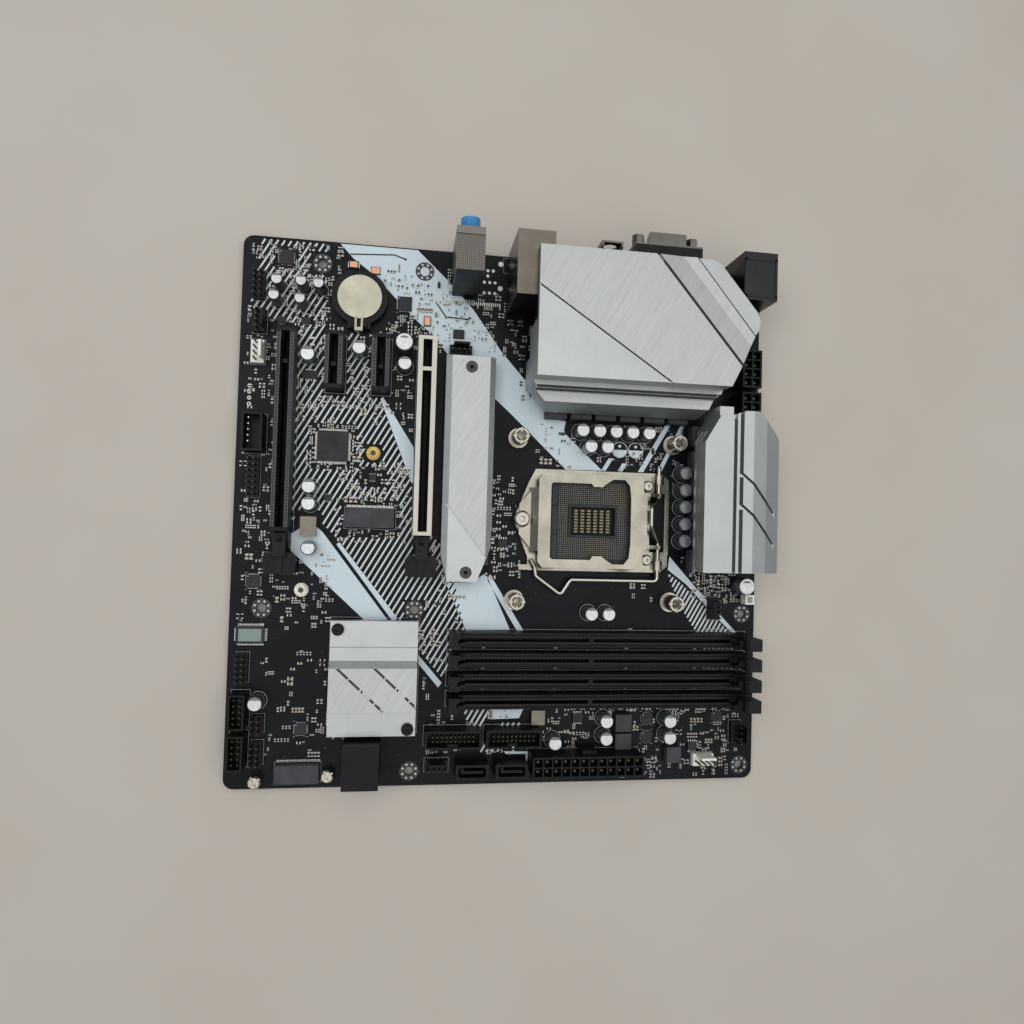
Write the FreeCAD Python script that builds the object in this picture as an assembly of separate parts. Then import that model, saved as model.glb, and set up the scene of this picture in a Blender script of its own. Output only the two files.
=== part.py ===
"""Micro-ATX desktop motherboard, as an assembly of separate sub-parts.

Model frame while building: X runs from the expansion-slot side to the processor
power side, Y from the front edge to the rear connector edge, and Z up from the
board's top face, with X = Y = 0 at the front corner on the expansion-slot side.
Each sub-part is moved to the shared frame when it is written: the origin is then on
the axis of one mounting hole, at the board's underside.
"""
import FreeCAD, Part
import math
import os

from FreeCAD import Vector

os.makedirs("parts", exist_ok=True)

# ---------------------------------------------------------------- driving dimensions
INCH = 25.4
BOARD = 9.6 * INCH                      # side of the square board
BOARD_T = 1.57                          # board thickness
CORNER_R = 4.5
UNDER = 2.0                             # how far everything stands below the board
HOLE_R = 1.98                           # mounting holes
HOLE_ORIGIN = (80.01, 233.68)           # the hole that the shared frame starts from
MOUNTING_HOLES = [
    (34.29, 233.68), HOLE_ORIGIN, (13.4, 78.74),
    (80.01, 78.74), (237.49, 78.74), (80.01, 6.35), (237.49, 6.35),
]

SOCKET_X, SOCKET_Y = 162.95, 121.5      # processor socket centre
SOCKET_SIDE = 42.9
PACKAGE = 37.7                          # pocket for the processor package
COOLER_PITCH = 75.0
STANDOFF_R, STANDOFF_H = 3.75, 11.0
STANDOFF_THREAD_R = 1.5

SHAFT_X, SHAFT_Z = 193.0, 3.4           # load lever's shaft
LEVER_R = 1.0
HINGE_FIT = 0.06                        # radial clearance of pins in their holes

SLOT_PITCH = 20.32
SLOT_X0 = 82.2                          # first expansion slot
SLOT_REAR_Y = 200.9
SLOT_W, SLOT_H = 7.4, 11.2
X16_LENGTH, X1_LENGTH = 87.9, 25.0
SLOT_KEY = 14.4                         # key bar, back from the slot's rear end
CARD_GROOVE = 1.8

DIMM_PITCH = 9.3
DIMM_Y0 = 66.7                          # rearmost memory slot
DIMM_X0, DIMM_X1 = 96.0, 238.2
DIMM_W, DIMM_H = 6.4, 8.0
DIMM_PIVOT_X, DIMM_PIVOT_Z = 236.0, 4.0
DIMM_LATCH_H = 21.5

REAR_FACE_Y = 244.3                     # rear connectors' faces

MAIN_TOP, MAIN_COVER_T = 36.0, 3.7      # main regulator heatsink
SIDE_TOP = 28.0                         # side regulator heatsink
MOSFET_H, PAD_T = 0.9, 1.1
CHOKE_H = 6.0


# ---------------------------------------------------------------- helpers
def box(x0, y0, z0, x1, y1, z1):
    """Upright block between two corners."""
    return Part.makeBox(x1 - x0, y1 - y0, z1 - z0, Vector(x0, y0, z0))


def block(x, y, length_x, length_y, z0, z1):
    """Upright block centred on x, y."""
    return box(x - length_x / 2, y - length_y / 2, z0, x + length_x / 2, y + length_y / 2, z1)


def rod(x, y, z, radius, length, axis=(0, 0, 1)):
    """Cylinder that starts at a point and runs along an axis."""
    return Part.makeCylinder(radius, length, Vector(x, y, z), Vector(*axis))


def face_of(points):
    """Flat face through a closed list of 3-D points."""
    return Part.Face(Part.makePolygon([Vector(*p) for p in points + points[:1]]))


def prism_z(outline, z0, z1):
    """Plan outline raised from z0 to z1."""
    return face_of([(x, y, z0) for x, y in outline]).extrude(Vector(0, 0, z1 - z0))


def prism_x(outline, x0, x1):
    """Outline in Y, Z carried along X."""
    return face_of([(x0, y, z) for y, z in outline]).extrude(Vector(x1 - x0, 0, 0))


def prism_y(outline, y0, y1):
    """Outline in X, Z carried along Y."""
    return face_of([(x, y0, z) for x, z in outline]).extrude(Vector(0, y1 - y0, 0))


def rounded_rect(x0, y0, x1, y1, radius, z0, z1):
    """Upright block with its four vertical edges rounded."""
    solid = box(x0, y0, z0, x1, y1, z1)
    upright = [e for e in solid.Edges if abs(e.tangentAt(e.FirstParameter).z) > 0.99]
    return solid.makeFillet(radius, upright)


def groove(start, end, width, top, depth):
    """Cutter for a straight groove of a given width between two plan points."""
    dx, dy = end[0] - start[0], end[1] - start[1]
    length = math.hypot(dx, dy)
    nx, ny = -dy / length * width / 2, dx / length * width / 2
    outline = [
        (start[0] + nx, start[1] + ny), (end[0] + nx, end[1] + ny),
        (end[0] - nx, end[1] - ny), (start[0] - nx, start[1] - ny),
    ]
    return prism_z(outline, top - depth, top + 1.0)


def fuse(solids):
    """One solid from several that touch or overlap."""
    joined = solids[0].fuse(solids[1:]) if len(solids) > 1 else solids[0]
    return joined.removeSplitter()


def cut(solid, tools):
    """A solid less a list of cutters."""
    return solid.cut(tools).removeSplitter() if len(tools) > 1 else solid.cut(tools[0])


def group(solids):
    """Several separate solids kept in one sub-part."""
    return Part.makeCompound([s for shape in solids for s in shape.Solids])


def turned(profile, x, y):
    """Solid of revolution about an upright axis, from points of radius and height."""
    face = face_of([(x + r, y, z) for r, z in profile])
    return face.revolve(Vector(x, y, 0), Vector(0, 0, 1), 360)


def bent_rod(points, radius, bend):
    """Round wire through points, with an arc of a given radius at each corner."""
    corners = [Vector(*p) for p in points]
    edges = []
    last = corners[0]
    for before, corner, after in zip(corners, corners[1:], corners[2:]):
        inward = (before - corner).normalize()
        outward = (after - corner).normalize()
        half_turn = (math.pi - inward.getAngle(outward)) / 2
        reach = bend * math.tan(half_turn)
        start = corner + inward * reach
        end = corner + outward * reach
        middle_dir = (inward + outward).normalize()
        middle = corner + middle_dir * (bend / math.cos(half_turn) - bend)
        edges.append(Part.LineSegment(last, start).toShape())
        edges.append(Part.Arc(start, middle, end).toShape())
        last = end
    edges.append(Part.LineSegment(last, corners[-1]).toShape())
    path = Part.Wire(edges)
    section = Part.Wire([Part.Circle(corners[0], corners[1] - corners[0], radius).toShape()])
    return path.makePipeShell([section], True, False)


def write(name, shape):
    """Move a sub-part into the shared frame and write its STEP file."""
    placed = shape.copy()
    placed.translate(Vector(-HOLE_ORIGIN[0], -HOLE_ORIGIN[1], BOARD_T))
    placed.exportStep("parts/" + name + ".step")


# ---------------------------------------------------------------- board
COOLER_HOLES = [
    (SOCKET_X + sx * COOLER_PITCH / 2, SOCKET_Y + sy * COOLER_PITCH / 2)
    for sx in (-1, 1) for sy in (-1, 1)
]
SHOULDER_SCREW = (127.4, 121.5)
ILM_SCREWS = [(187.8, 138.7), (187.8, 103.8)]
PUSH_PINS = [(47.3, 70.8), (78.5, 27.6)]
MAIN_SCREWS = [(133.5, 191.2), (205.0, 191.2)]
SIDE_SCREWS = [(236.0, 104.0), (236.0, 158.0)]
SHANK_R = 1.45
SHANK_HOLE_R = 1.5


def make_board():
    """Circuit board with its mounting, cooler, socket and heatsink holes."""
    plate = rounded_rect(0, 0, BOARD, BOARD, CORNER_R, -BOARD_T, 0)
    cutters = [rod(x, y, -2, HOLE_R, 3) for x, y in MOUNTING_HOLES]
    cutters += [rod(x, y, -2, 2.0, 3) for x, y in COOLER_HOLES]
    small = [SHOULDER_SCREW] + ILM_SCREWS + PUSH_PINS + MAIN_SCREWS + SIDE_SCREWS
    cutters += [rod(x, y, -2, SHANK_HOLE_R, 3) for x, y in small]
    return cut(plate, cutters)


def tail(x, y, radius=0.75):
    """Solder joint with its clipped pin, under the board."""
    return Part.makeCone(radius, radius * 0.45, UNDER, Vector(x, y, -BOARD_T), Vector(0, 0, -1))


def make_solder_joints():
    """Soldered tabs and pins of the through-hole parts that the board rests on."""
    shell_tabs = [
        (94, 226, 102.5, 240), (119.5, 219, 133.5, 236), (139.5, 228, 150.5, 240),
        (223.5, 225, 235.5, 240), (172.5, 231, 200.3, 238.5), (156.4, 237.9, 165.2, 237.9),
    ]
    places = [(x, y) for x0, y0, x1, y1 in shell_tabs for x in (x0, x1) for y in (y0, y1)]
    places += [(137.0 + POWER_PITCH * i, y) for i in range(12) for y in (8.5, 12.7)]
    places += [(x, 177.6 + 5.4 * i) for i in range(5) for x in (232.3, 236.5)]
    slot_ends = [114.5, 135.0, 156.0, 178.0, 199.4]
    places += [(SLOT_X0 - SLOT_PITCH * i, y) for i in (0, 3) for y in slot_ends]
    places += [(SLOT_X0 - SLOT_PITCH * i, y) for i in (1, 2) for y in (177.5, 199.4)]
    dimm_xs = [99.0, 126.0, 154.0, 182.0, 210.0, 231.5]
    places += [(x, DIMM_Y0 - DIMM_PITCH * i) for i in range(4) for x in dimm_xs]
    places += [(x, y) for x in (3.6, 8.2) for y in (12, 22, 29, 39)]
    places += [(x, y) for x in (52.5, 65.5) for y in (8, 15)]
    return group([tail(x, y) for x, y in sorted(set(places))])


# ---------------------------------------------------------------- processor socket
CAVITY_X, CAVITY_Y = 161.5, 121.3
CAVITY_L, CAVITY_W = 21.5, 13.2


def make_socket_body():
    """Black socket frame with the pocket for the package and the central cavity."""
    half, pocket = SOCKET_SIDE / 2, PACKAGE / 2
    x, y = SOCKET_X, SOCKET_Y
    body = box(x - half, y - half, 0, x + half, y + half, 4.2)
    seat = box(x - pocket, y - pocket, 2.1, x + pocket, y + pocket, 5)
    hole = block(CAVITY_X, CAVITY_Y, CAVITY_L, CAVITY_W, -1, 5)
    finger_left = box(x - half - 1, y - 7, 3.2, x - pocket + 1, y + 7, 5)
    finger_right = box(x + pocket - 1, y - 7, 3.2, x + half + 1, y + 7, 5)
    body = cut(body, [seat, hole, finger_left, finger_right])
    lip = cut(block(CAVITY_X, CAVITY_Y, CAVITY_L + 1.6, CAVITY_W + 1.6, 2.0, 2.9),
              [block(CAVITY_X, CAVITY_Y, CAVITY_L, CAVITY_W, 1, 4)])
    return fuse([body, lip])


def make_socket_contacts():
    """Rows of spring contacts on the socket floor, left out round the cavity."""
    pitch, rows = 0.914, 39
    reach = PACKAGE / 2 - 1.0
    gap_x = CAVITY_L / 2 + 1.1
    gap_y = CAVITY_W / 2 + 1.1
    strips = []
    for row in range(rows):
        y = SOCKET_Y + (row - (rows - 1) / 2) * pitch
        spans = [(SOCKET_X - reach, SOCKET_X + reach)]
        if abs(y - CAVITY_Y) < gap_y:
            spans = [(SOCKET_X - reach, CAVITY_X - gap_x), (CAVITY_X + gap_x, SOCKET_X + reach)]
        for x0, x1 in spans:
            strips.append(box(x0, y - 0.22, 2.1, x1, y + 0.22, 2.6))
    return group(strips)


def make_socket_capacitors():
    """Decoupling capacitors in the socket cavity."""
    return group([
        block(CAVITY_X - 7.7 + 3.08 * column, CAVITY_Y - 4.9 + 1.4 * row, 1.7, 0.8, 0, 0.8)
        for column in range(6) for row in range(8)
    ])


def make_ilm_frame():
    """Steel frame screwed round the socket, with the ears that hold the lever shaft."""
    outline = [
        (134, 98.0), (194.5, 98.0), (198.5, 101.0), (198.5, 142.0), (194.5, 145.0),
        (134, 145.0), (131, 139), (126, 126.5), (124.2, 121.5), (126, 116.5), (131, 104),
    ]
    plate = prism_z(outline, 0.2, 1.7)
    socket_window = block(SOCKET_X, SOCKET_Y, SOCKET_SIDE + 0.6, SOCKET_SIDE + 0.6, 0, 3)
    hinge_window = box(189.4, 107.6, 0, 196.6, 135.4, 3)
    plate = cut(plate, [socket_window, hinge_window])
    solids = [plate]
    for y0 in (99.4, 139.4):
        ear = fuse([rod(SHAFT_X, y0, SHAFT_Z, 2.3, 4.2, (0, 1, 0)),
                    box(SHAFT_X - 2.3, y0, 1.0, SHAFT_X + 2.3, y0 + 4.2, SHAFT_Z)])
        solids.append(ear)
    solids.append(box(197.3, 106.5, 1.0, 198.5, 136.5, 2.4))
    catch = fuse([box(126.6, 98.3, 0.2, 131.9, 99.5, 4.6), box(131, 98.0, 0.2, 135, 104, 1.7),
                  box(126.6, 98.3, 0.2, 134, 100.5, 1.7)])
    solids.append(catch)
    frame = fuse(solids)
    holes = [rod(SHAFT_X, 98, SHAFT_Z, LEVER_R + HINGE_FIT, 48, (0, 1, 0))]
    holes += [rod(x, y, -1, SHANK_HOLE_R + 0.1, 4) for x, y in [SHOULDER_SCREW] + ILM_SCREWS]
    return cut(frame, holes)


PLATE_Z, PLATE_T = 5.0, 1.5             # load plate
LOAD_TAB_X = 162.6


def make_load_plate():
    """Stamped load plate: window, pressing tabs, stepped nose and hinge knuckles."""
    z0, z1 = PLATE_Z, PLATE_Z + PLATE_T
    outline = [
        (137.2, 99.5), (183.5, 99.5), (184.8, 101.0), (184.8, 107.6), (186.6, 109.0),
        (186.6, 134.0), (184.8, 135.4), (184.8, 141.6), (183.5, 142.9), (137.2, 142.9),
        (135.0, 140.4), (135.0, 102.0),
    ]
    window = [
        (141.6, 103.4), (159.6, 103.4), (160.6, 105.2), (165.0, 105.2), (166.0, 104.2),
        (170.0, 101.6), (175.6, 101.6), (178.0, 104.6), (178.7, 111.0), (178.7, 132.0),
        (178.0, 138.2), (175.6, 141.0), (170.0, 141.0), (166.0, 138.4), (165.0, 137.3),
        (160.6, 137.3), (159.6, 138.7), (141.6, 138.7), (140.6, 137.7), (140.6, 104.4),
    ]
    plate = prism_z(outline, z0, z1).cut(prism_z(window, z0 - 1, z1 + 1))
    rims = [box(137.2, y0, 4.6, 183.5, y0 + 1.1, z0 + 0.3) for y0 in (99.5, 141.8)]
    riser = prism_y([(131.6, 2.9), (132.9, 2.9), (135.6, z0), (135.6, z1), (134.9, z1), (131.6, 4.3)],
                    107.0, 136.0)
    nose = prism_z([(126.3, 114.5), (132.0, 108.0), (132.0, 135.0), (126.3, 128.5)], 2.9, 4.3)
    tabs = [rod(LOAD_TAB_X, y, z0 - 0.3, 2.1, 0.6) for y in (103.0, 139.5)]
    tongue = box(186.0, 120.9, z0, 189.8, 127.1, z1)
    knuckles = []
    for y0 in (133.6, 109.2):
        arm = prism_y([(184.0, z0), (187.0, z0), (192.0, SHAFT_Z - 1.9), (194.0, SHAFT_Z + 1.9),
                       (188.0, z1), (184.0, z1)], y0, y0 + 1.7)
        knuckles += [arm, rod(SHAFT_X, y0, SHAFT_Z, 2.2, 1.7, (0, 1, 0))]
    body = fuse([plate, riser, nose, tongue] + rims + tabs + knuckles)
    screw_x, screw_y = SHOULDER_SCREW
    notch = [rod(screw_x, screw_y, 1, 3.95, 9), box(120, screw_y - 3.95, 1, screw_x, screw_y + 3.95, 9)]
    relief = [rod(x, y, 1, 3.1, 9) for x, y in ILM_SCREWS]
    bore = rod(SHAFT_X, 100, SHAFT_Z, LEVER_R + HINGE_FIT, 44, (0, 1, 0))
    return cut(body, notch + relief + [bore])


def make_load_lever():
    """Bent-wire lever: cranked shaft, long arm, finger dip and hooked end."""
    crank_x, crank_z = SHAFT_X - 4.7, PLATE_Z + PLATE_T + LEVER_R + 0.2
    route = [
        (SHAFT_X, 147.4, SHAFT_Z), (SHAFT_X, 132.5, SHAFT_Z), (crank_x, 128.0, crank_z),
        (crank_x, 120.0, crank_z), (SHAFT_X, 112.2, SHAFT_Z), (SHAFT_X, 94.0, SHAFT_Z),
        (151.4, 94.0, SHAFT_Z), (146.8, 86.9, SHAFT_Z), (134.9, 95.4, SHAFT_Z),
        (134.2, 99.4, SHAFT_Z), (132.1, 103.2, SHAFT_Z + 0.9),
    ]
    return bent_rod(route, LEVER_R, 1.7)


def shoulder_screw(x, y):
    """Screw with a wide round head and a thick shoulder."""
    profile = [(0, -BOARD_T), (SHANK_R, -BOARD_T), (SHANK_R, 1.75), (2.3, 1.75), (2.3, 4.7),
               (3.5, 4.7), (3.5, 6.4), (2.9, 7.0), (1.4, 7.0), (1.1, 5.6), (0, 5.6)]
    return turned(profile, x, y)


def pan_screw(x, y, seat, head_r, head_h, shank_end, shank_r=SHANK_R):
    """Pan-head screw with a drive recess, head up."""
    profile = [(0, shank_end), (shank_r, shank_end), (shank_r, seat), (head_r, seat),
               (head_r, seat + head_h * 0.6), (head_r * 0.75, seat + head_h), (0.9, seat + head_h),
               (0.7, seat + head_h * 0.45), (0, seat + head_h * 0.45)]
    return turned(profile, x, y)


def make_ilm_screws():
    """The shoulder screw at the load plate's nose and the two frame screws."""
    return group([shoulder_screw(*SHOULDER_SCREW)]
                 + [pan_screw(x, y, 1.7, 2.6, 2.0, -BOARD_T) for x, y in ILM_SCREWS])


def make_ilm_backplate():
    """Steel stiffener under the socket."""
    z0, z1 = -BOARD_T - UNDER, -BOARD_T
    outline = [
        (123.7, 116.5), (132, 99.5), (139, 97.5), (192, 97.5), (197, 102), (197, 141),
        (192, 145.5), (139, 145.5), (132, 143.5), (123.7, 126.5),
    ]
    window = [
        (148, 112), (153, 107), (172, 107), (177, 112), (177, 131), (172, 136), (153, 136), (148, 131),
    ]
    plate = prism_z(outline, z0, z1).cut(prism_z(window, z0 - 1, z1 + 1))
    return cut(plate, [rod(x, y, z0 - 1, 2.0, 4) for x, y in [SHOULDER_SCREW] + ILM_SCREWS])


def make_cooler_backplate():
    """Frame under the board that the cooler standoffs are screwed to."""
    z0, z1 = -BOARD_T - UNDER, -BOARD_T
    ring = rounded_rect(116.6, 75.5, 209.3, 167.5, 9, z0, z1)
    window = rounded_rect(122.6, 91.5, 199.0, 151.5, 5, z0 - 1, z1 + 1)
    lightening = [rounded_rect(136, y0, 190, y0 + 6.5, 3.2, z0 - 1, z1 + 1) for y0 in (80.2, 156.3)]
    holes = [rod(x, y, z0 - 1, 2.0, 4) for x, y in COOLER_HOLES]
    return cut(ring, [window] + lightening + holes)


def make_cooler_standoffs():
    """Four threaded standoffs for the processor cooler."""
    solids = []
    for x, y in COOLER_HOLES:
        profile = [(0, -BOARD_T - UNDER), (1.94, -BOARD_T - UNDER), (1.94, 0), (4.6, 0), (4.6, 0.7),
                   (STANDOFF_R, 0.7), (STANDOFF_R, STANDOFF_H - 0.4), (STANDOFF_R - 0.4, STANDOFF_H),
                   (0, STANDOFF_H)]
        post = turned(profile, x, y)
        thread = rod(x, y, STANDOFF_H - 7.0, STANDOFF_THREAD_R, 8)
        dish = Part.makeCone(1.5, 2.6, 1.1, Vector(x, y, STANDOFF_H - 1.1))
        slots = [block(x, y, 12, 0.8, STANDOFF_H - 0.7, 12), block(x, y, 0.8, 12, STANDOFF_H - 0.7, 12)]
        solids.append(cut(post, [thread, dish] + slots))
    return group(solids)


# ---------------------------------------------------------------- regulator and heatsinks
MAIN_CHOKES = [(142.3 + 11.75 * i, 173.4) for i in range(6)]
SIDE_CHOKES = [(213.4, 163.2 - 11.75 * i) for i in range(6)]
MAIN_MOSFETS = [(142.3 + 11.75 * i, 185.6) for i in range(6)]
SIDE_MOSFETS = [(226.2, 163.2 - 11.75 * i) for i in range(6)]


def make_vrm_chokes():
    """Moulded chokes of the processor regulator."""
    solids = []
    for x, y in MAIN_CHOKES + SIDE_CHOKES:
        body = block(x, y, 10.0, 10.0, 0, CHOKE_H)
        solids.append(body.makeChamfer(0.5, [e for e in body.Edges if e.CenterOfMass.z > CHOKE_H - 0.1]))
    return group(solids)


def make_vrm_mosfets():
    """Flat power-stage packages, two to a phase, under the heatsinks."""
    main = [block(x + dx, y, 5.0, 6.0, 0, MOSFET_H) for x, y in MAIN_MOSFETS for dx in (-2.8, 2.8)]
    side = [block(x, y + dy, 6.0, 5.0, 0, MOSFET_H) for x, y in SIDE_MOSFETS for dy in (-2.8, 2.8)]
    return group(main + side)


def make_thermal_pads():
    """Thermal pads between the power stages, the drive bay and the heatsinks."""
    z1 = MOSFET_H + PAD_T
    return group([
        box(136.8, 182.2, MOSFET_H, 203.6, 189.0, z1), box(222.8, 99.9, MOSFET_H, 229.6, 168.8, z1),
        box(94.5, 110, M2_UNDERSIDE - 0.5, 109.5, 178, M2_UNDERSIDE),
    ])


def diagonal_prism(section, length=80.0, along=(0.651, -0.759)):
    """Section of distance and height, carried along the main heatsink's diagonal.

    Distances are measured square to the diagonal from the frame's corner.
    """
    nx, ny = -along[1], along[0]
    middle = (203.0, 209.0)
    base = middle[0] * nx + middle[1] * ny
    points = []
    for distance, z in section:
        shift = distance - base
        points.append((middle[0] + nx * shift - along[0] * length / 2,
                       middle[1] + ny * shift - along[1] * length / 2, z))
    return face_of(points).extrude(Vector(along[0] * length, along[1] * length, 0))


COVER_Z = MAIN_TOP - MAIN_COVER_T


def make_main_cover():
    """Cover plate of the main heatsink, over the finned block and the rear connectors."""
    top = MAIN_TOP
    cover = prism_z([
        (127.4, 181.3), (213.5, 181.3), (218.1, 190.6), (224.1, 204.2), (226.0, 207.0),
        (226.7, 211.0), (225.4, 214.6), (208.6, 234.2), (207.0, 235.6), (204.6, 236.4),
        (197.0, 236.7), (127.4, 236.7),
    ], COVER_Z, top)
    strips = diagonal_prism([
        (289.9, top + 2), (289.9, top), (298.6, top - 0.9), (303.2, top - 0.5),
        (303.2, top - 1.1), (330.0, top - 1.3), (330.0, top + 2),
    ])
    lines = [
        groove((179.5, 236.0), (217.6, 191.6), 1.3, top, 1.4),
        groove((178.2, 237.5), (219.5, 189.4), 1.3, top, 1.4),
        groove((196.6, 237.2), (224.6, 203.7), 0.8, top, 2.0),
        groove((126.0, 220.7), (187.5, 180.6), 0.75, top, 0.7),
    ]
    return cut(cover, [strips] + lines)


def make_main_heatsink():
    """Finned block of the main regulator heatsink, stepped along its front."""
    profile = [
        (181.3, COVER_Z), (181.3, 26.5), (179.4, 26.5), (179.4, 24.9), (180.6, 24.9), (180.6, 23.7),
        (178.6, 23.7), (178.6, 22.0), (179.6, 22.0), (179.6, 20.9), (177.8, 20.9), (177.8, 20.0),
        (173.4, 20.0), (170.6, 8.0), (181.0, 8.0), (181.0, 2.0), (194.0, 2.0), (194.0, 12.0),
        (207.0, 12.0), (207.0, COVER_Z),
    ]
    plan = prism_z([
        (136.6, 170.0), (208.4, 170.0), (213.5, 181.3), (213.5, 208), (127.9, 208), (127.9, 180.2),
    ], 0, COVER_Z)
    body = prism_x(profile, 127.0, 214.0).common(plan)
    fins = [box(132.0 + 4.6 * i, 196.5, 13.5, 134.3 + 4.6 * i, 208.5, 30.0) for i in range(18)]
    threads = [rod(x, y, 0, SHANK_HOLE_R, 9) for x, y in MAIN_SCREWS]
    return cut(body, fins + threads)


def make_side_heatsink():
    """Side regulator heatsink: faceted top over side fins."""
    top = SIDE_TOP
    profile = [
        (205.3, top), (205.3, 22.4), (209.0, 22.4), (209.0, 20.2), (206.6, 20.2), (206.6, 17.6),
        (209.0, 17.6), (209.0, 15.4), (206.6, 15.4), (206.6, 12.8), (209.0, 12.8), (209.0, 9.6),
        (219.6, 9.6), (219.6, 2.0), (233.0, 2.0), (233.0, 2.8), (240.5, 2.8), (240.5, 12.0),
        (242.6, 12.0), (242.6, 14.6), (240.8, 14.6), (240.8, 17.2), (242.6, 17.2), (242.6, 23.3),
        (235.1, 26.4), (228.2, top),
    ]
    plan = prism_z([
        (205.3, 99.8), (242.7, 99.8), (242.7, 160.6), (240.3, 163.6), (231.6, 172.6), (224.5, 172.4),
        (219.1, 170.7), (219.1, 174.2), (212.3, 174.2), (212.3, 169.6), (205.3, 157.8),
    ], 0, top + 1)
    sink = prism_y(profile, 99.0, 175.0).common(plan)
    step = box(212, 169.9, top - 1.2, 219.2, 175, top + 1)
    lines = [groove((219.5, 98), (219.5, 176), 1.6, top, 1.8)]
    joints = [(175.0, 144.2), (142.6, 130.4), (128.2, 98.0)]
    lines += [groove((222.5, y0), (222.5, y1), 1.8, top, 1.8) for y0, y1 in joints]
    for y in (144.6, 130.5):
        lines.append(groove((222.0, y + 0.4), (228.8, y - 5.0), 1.2, top, 1.8))
        lines.append(groove((228.6, y - 4.8), (244.5, y - 23.6), 1.2, top + 0.5, 4.2))
    threads = [rod(x, y, 0, SHANK_HOLE_R, 9) for x, y in SIDE_SCREWS]
    return cut(sink, [step] + lines + threads)


def make_regulator_screws():
    """Screws that hold the two regulator heatsinks from below."""
    solids = []
    for x, y in MAIN_SCREWS + SIDE_SCREWS:
        head_top = -BOARD_T
        profile = [(0, 8), (SHANK_R, 8), (SHANK_R, head_top), (2.9, head_top), (2.9, head_top - 1.1),
                   (2.1, head_top - 1.8), (1.0, head_top - 1.8), (0.8, head_top - 1.0), (0, head_top - 1.0)]
        solids.append(turned(profile, x, y))
    return group(solids)


M2_X0, M2_X1 = 90.8, 113.2
M2_TOP, M2_UNDERSIDE = 9.0, 4.8
M2_SCREWS = [(102.2, 189.1), (102.1, 96.6)]


def make_m2_heatsink():
    """Bevelled plate heatsink over the drive slot."""
    profile = [
        (M2_X0, M2_UNDERSIDE), (M2_X0, 7.4), (93.5, M2_TOP), (110.6, M2_TOP), (M2_X1, 7.4),
        (M2_X1, M2_UNDERSIDE),
    ]
    plan = prism_z([
        (M2_X0, 104.0), (93.8, 92.5), (106.9, 92.5), (M2_X1, 108.2), (M2_X1, 194.0), (M2_X0, 194.0),
    ], 0, 12)
    sink = prism_y(profile, 92.0, 195.0).common(plan)
    line = groove((90.0, 130.3), (112.4, 101.4), 0.6, M2_TOP, 0.5)
    seats = [Part.makeCone(1.3, 2.75, 1.5, Vector(x, y, M2_TOP - 1.5)) for x, y in M2_SCREWS]
    holes = [rod(x, y, 3, 1.3, 8) for x, y in M2_SCREWS]
    ribs = [box(95.5 + 3.4 * i, 108, M2_UNDERSIDE - 1, 96.6 + 3.4 * i, 180, M2_UNDERSIDE + 0.6)
            for i in range(4)]
    return cut(sink, [line] + seats + holes + ribs)


def make_m2_heatsink_screws():
    """Countersunk screws of the drive heatsink."""
    solids = []
    for x, y in M2_SCREWS:
        z = M2_TOP
        profile = [(0, 3.0), (1.2, 3.0), (1.2, z - 1.4), (2.6, z - 0.05), (0.9, z - 0.05), (0, z - 1.0)]
        solids.append(turned(profile, x, y))
    return group(solids)


M2_POSTS = [(102.2, 189.1), (102.1, 96.6), (59.5, 149.0), (30.2, 87.1)]
CARD_POSTS = [(13.9, 4.2), (44.5, 6.2)]


def make_m2_standoffs():
    """Brass posts for the drive and wireless slots."""
    solids = []
    for x, y in M2_POSTS[:2]:
        solids.append(cut(rod(x, y, 0, 2.4, M2_UNDERSIDE), [rod(x, y, 2, 1.25, 9)]))
    for x, y in M2_POSTS[2:]:
        post = fuse([rod(x, y, 0, 2.6, 2.4), rod(x, y, 0, 3.1, 0.6)])
        solids.append(cut(post, [rod(x, y, 0.8, 1.0, 9)]))
    return group(solids)


def make_card_screws():
    """Plated cross-slotted posts beside the wireless card slot."""
    solids = []
    for x, y in CARD_POSTS:
        post = turned([(0, 0), (2.2, 0), (2.2, 3.4), (2.75, 3.4), (2.75, 4.6), (2.2, 5.3), (0, 5.3)], x, y)
        solids.append(cut(post, [groove((x - 4, y - 2.6), (x + 4, y + 2.6), 0.8, 5.3, 0.9),
                                 groove((x + 2.6, y - 4), (x - 2.6, y + 4), 0.8, 5.3, 0.9)]))
    return group(solids)


CHIPSET_BOX = (44.1, 24.5, 82.0, 74.5)


def make_chipset_heatsink():
    """Stepped chipset heatsink with a raised middle and two diagonal slots."""
    x0, y0, x1, y1 = CHIPSET_BOX
    profile = [
        (y0, 2.6), (y0, 8.8), (33.1, 8.8), (33.1, 9.2), (35.1, 9.2), (35.1, 10.4), (54.2, 10.4),
        (57.2, 8.0), (62.9, 8.0), (62.9, 7.3), (63.4, 7.3), (63.4, 8.0), (y1, 8.0), (y1, 2.6),
    ]
    sink = prism_x(profile, x0, x1)
    slots = [groove((47.2, 54.6), (67.8, 35.4), 1.1, 10.4, 1.3),
             groove((63.2, 54.6), (82.6, 36.5), 1.1, 10.4, 1.3)]
    holes = [rod(x, y, 0, 1.7, 12) for x, y in PUSH_PINS]
    return cut(sink, slots + holes)


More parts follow.
